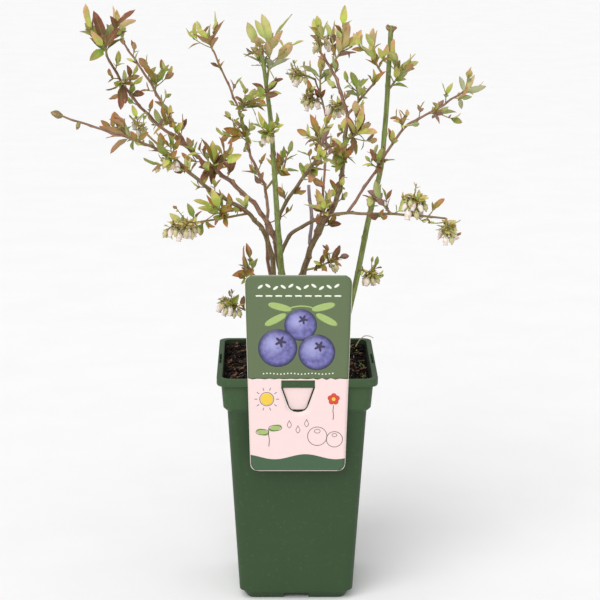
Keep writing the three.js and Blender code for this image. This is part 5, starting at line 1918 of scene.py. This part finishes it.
class BUSH_OT_twigs(bpy.types.Operator):
    """Grow the young twigs, the stalks of the bells, the cut ends and the buds"""

    bl_idname = "bush.twigs"
    bl_label = "Twigs and buds"

    def execute(self, context):
        settings = context.scene.bush_stems
        growths, stems = bush()
        twigs = [*stems.values(), *(twig for growth in growths for twig in growth.twigs)]
        starts = np.arange(len(twigs))[:, None] * TWIG_SHIFT
        lengths = np.array([twig.length for twig in twigs])[:, None]
        stalks = [TwigLine(b.root, mix(b.root, b.neck, 0.6) + UP * 0.8, b.neck, 0.5, 0.45)
                  for growth in growths for b in (*growth.bells, *growth.buds)]
        finish = bark_finish("young bark", (132, 88, 66), settings.twig, 0.4, 0.5, 0.12, 0.2)
        tube_piece("young_twigs", finish, "brown_bark",
                   (twig_rings(twigs), starts + lengths * np.linspace(0, 1, 8)),
                   twig_rings(stalks, 5, 5), nodes=[spec.name for spec in SHOOTS])

        cuts = []
        for on, at, offset, base, tip in CUTS:
            root = LINES[on].at(at)
            head = root + np.array(offset)
            cuts.append(TwigLine(root, mix(root, head, 0.5) - UP * 0.3, head, base, tip))
        along = np.linspace(0, 8, 8) + np.arange(len(cuts))[:, None]
        finish = bark_finish("cut ends", (104, 62, 48), (172, 122, 100), 0.4, 0.7,
                             0.3, 0.0)
        tube_piece("cut_ends", finish, "brown_bark", (twig_rings(cuts, 8, 10), along))

        buds = []
        for on, at, radius, length, towards in BUDS:
            line = LINES[on]
            axis = line.heading(at) if towards is None else unit(np.array(towards, float))
            root = line.at(at) - (axis if towards is None else 0 * axis)
            buds.append(bud_rings(root, axis, radius, length, 10, 12))
        for twig in twigs:
            axis = twig.heading(1.0)
            buds.append(bud_rings(twig.head - axis * 0.6, axis, 0.95, 3.4, 6, 7))
        finish = plain_finish("bud scales", (128, 84, 60), (150, 146, 84), 2.2, 0.5)
        tube_piece("buds", finish, "brown_bark", *buds)
        return {"FINISHED"}


class BUSH_OT_leaves(bpy.types.Operator):
    """Grow the leaves, one piece for each tint"""

    bl_idname = "bush.leaves"
    bl_label = "Leaves"

    def execute(self, context):
        settings = context.scene.bush_leaves
        leaves = [leaf for growth in bush()[0] for leaf in growth.leaves]
        for tint, (tip, under) in TINTS.items():
            chosen = [leaf for leaf in leaves if leaf.tint == tint]
            if not chosen:
                raise RuntimeError(f"no leaf has the tint {tint}")
            finish = leaf_finish(f"{tint} leaf", getattr(settings, tint), tip, under)
            dress(blades(chosen, f"leaves_{tint}", finish), "leaves")
        return {"FINISHED"}


class BUSH_OT_blossom(bpy.types.Operator):
    """Grow the open bells, the closed flower buds and their cups"""

    bl_idname = "bush.blossom"
    bl_label = "Blossom"

    def execute(self, context):
        settings = context.scene.bush_blossom
        bells = [bell for growth in bush()[0] for bell in growth.bells]
        buds = [bud for growth in bush()[0] for bud in growth.buds]
        finish = petal_finish("petals", settings.petal, settings.blush, (196, 204, 150))
        tube_piece("bells", finish, "blossom", turned_rings(bells, BELL_PROFILE))

        closed = BELL_PROFILE.copy()
        closed[5:, 1] *= (0.55, 0.3, 0.25, 0.2, 0.2)
        finish = petal_finish("flower buds", (196, 188, 136), settings.blush,
                              (156, 166, 100))
        tube_piece("flower_buds", finish, "blossom", turned_rings(buds, closed))

        bracts = [bract(flower, side, up) for flower in bells + buds
                  for side, up in ((-0.9, 0.05), (0.8, 0.5))]
        finish = leaf_finish("bract", (220, 212, 128), (206, 156, 108),
                             (208, 192, 134))
        dress(blades(bracts, "bracts", finish, BRACT_GRID), "blossom")
        finish = plain_finish("cups", (126, 136, 74), settings.cup, 2.5, 0.5, 0.15)
        tube_piece("cups", finish, "blossom", turned_rings(bells + buds, CUP_PROFILE))
        return {"FINISHED"}


CAMERA = Row(
    place=(-0.0279, -1.8962, 0.7569), pitch=14.01, yaw=0.94, roll=0.27, pixels=2050.4, frame=600,
)


def hang_lamp(name, kind, power, size, place):
    """A lamp aimed at the middle of the part; a sun's size is its angle."""
    data = bpy.data.lights.new(name, kind)
    data.energy = power
    setattr(data, "angle" if kind == "SUN" else "size", size)
    lamp = bpy.data.objects.new(name, data)
    lamp.location = place
    away = Vector(place) - Vector((0, 0, 0.3))
    lamp.rotation_euler = away.to_track_quat("Z", "Y").to_euler()
    bpy.context.scene.collection.objects.link(lamp)


def set_camera(scene):
    angles = ((-CAMERA.yaw, "Z"), (90 - CAMERA.pitch, "X"), (CAMERA.roll, "Z"))
    yaw, pitch, roll = (Matrix.Rotation(math.radians(v), 3, axis) for v, axis in angles)
    data = bpy.data.cameras.new("camera")
    data.sensor_width = 36.0
    data.lens = CAMERA.pixels / CAMERA.frame * data.sensor_width
    camera = bpy.data.objects.new("camera", data)
    camera.location = CAMERA.place
    camera.rotation_euler = (yaw @ pitch @ roll).to_euler()
    scene.collection.objects.link(camera)
    scene.camera = camera


class BUSH_OT_stage(bpy.types.Operator):
    """Lay the floor, hang the studio's lights and set the camera"""

    bl_idname = "bush.stage"
    bl_label = "Stage"

    def execute(self, context):
        settings = context.scene.bush_stage
        scene = context.scene
        sides = 64
        reach = np.array([0.02, 0.5, 2.0, 14.0])[:, None, None] / MM
        disc = reach * spokes(np.array((1.0, 0, 0)), np.array((0, 1.0, 0)), sides) - UP * 0.1
        skin = Skin()
        skin.add(disc.reshape(1, -1, 3), wrapped_faces(len(reach), sides)[:, ::-1],
                 np.arange(sides)[None])
        shaded = [0.98 * c for c in settings.floor]
        finish = plain_finish("floor", settings.floor, shaded, 90, 0.7, 0.02)
        skin.build("floor", finish, smooth=False)

        world = bpy.data.worlds.new("surround")
        world.use_nodes = True
        surround = world.node_tree.nodes["Background"].inputs
        surround["Color"].default_value = (1, 1, 1, 1)
        surround["Strength"].default_value = settings.sky
        scene.world = world
        scene.view_settings.view_transform = "Standard"
        hang_lamp("key", "SUN", settings.key, math.radians(50), (-0.6, -1.3, 1.7))
        hang_lamp("fill", "AREA", settings.fill, 1.2, (1.3, -1.5, 0.9))
        set_camera(scene)
        return {"FINISHED"}


OPERATORS = (BUSH_OT_stage, BUSH_OT_pot, BUSH_OT_peat, BUSH_OT_label, BUSH_OT_stems,
             BUSH_OT_twigs, BUSH_OT_leaves, BUSH_OT_blossom)
SETTINGS = {
    "bush_pot": BushPotSettings, "bush_peat": BushPeatSettings, "bush_label": BushLabelSettings,
    "bush_stems": BushStemSettings, "bush_leaves": BushLeafSettings,
    "bush_blossom": BushBlossomSettings, "bush_stage": BushStageSettings,
}


class BUSH_PT_panel(bpy.types.Panel):
    """The bush's pieces, in the order in which they are made"""

    bl_idname = "BUSH_PT_panel"
    bl_label = "Blueberry bush"
    bl_space_type = "VIEW_3D"
    bl_region_type = "UI"
    bl_category = "Bush"

    def draw(self, context):
        for operator in OPERATORS:
            self.layout.operator(operator.bl_idname)
        for name, group in SETTINGS.items():
            box = self.layout.box()
            for key in group.__annotations__:
                box.prop(getattr(context.scene, name), key)


def register():
    for name, group in SETTINGS.items():
        bpy.utils.register_class(group)
        setattr(bpy.types.Scene, name, PointerProperty(type=group))
    for operator in OPERATORS:
        bpy.utils.register_class(operator)
    bpy.utils.register_class(BUSH_PT_panel)


def unregister():
    bpy.utils.unregister_class(BUSH_PT_panel)
    for operator in reversed(OPERATORS):
        bpy.utils.unregister_class(operator)
    for name, group in SETTINGS.items():
        delattr(bpy.types.Scene, name)
        bpy.utils.unregister_class(group)


def main():
    """Makes every piece in order."""
    register()
    for operator in OPERATORS:
        group, name = operator.bl_idname.split(".")
        getattr(getattr(bpy.ops, group), name)()


if __name__ == "__main__":
    main()
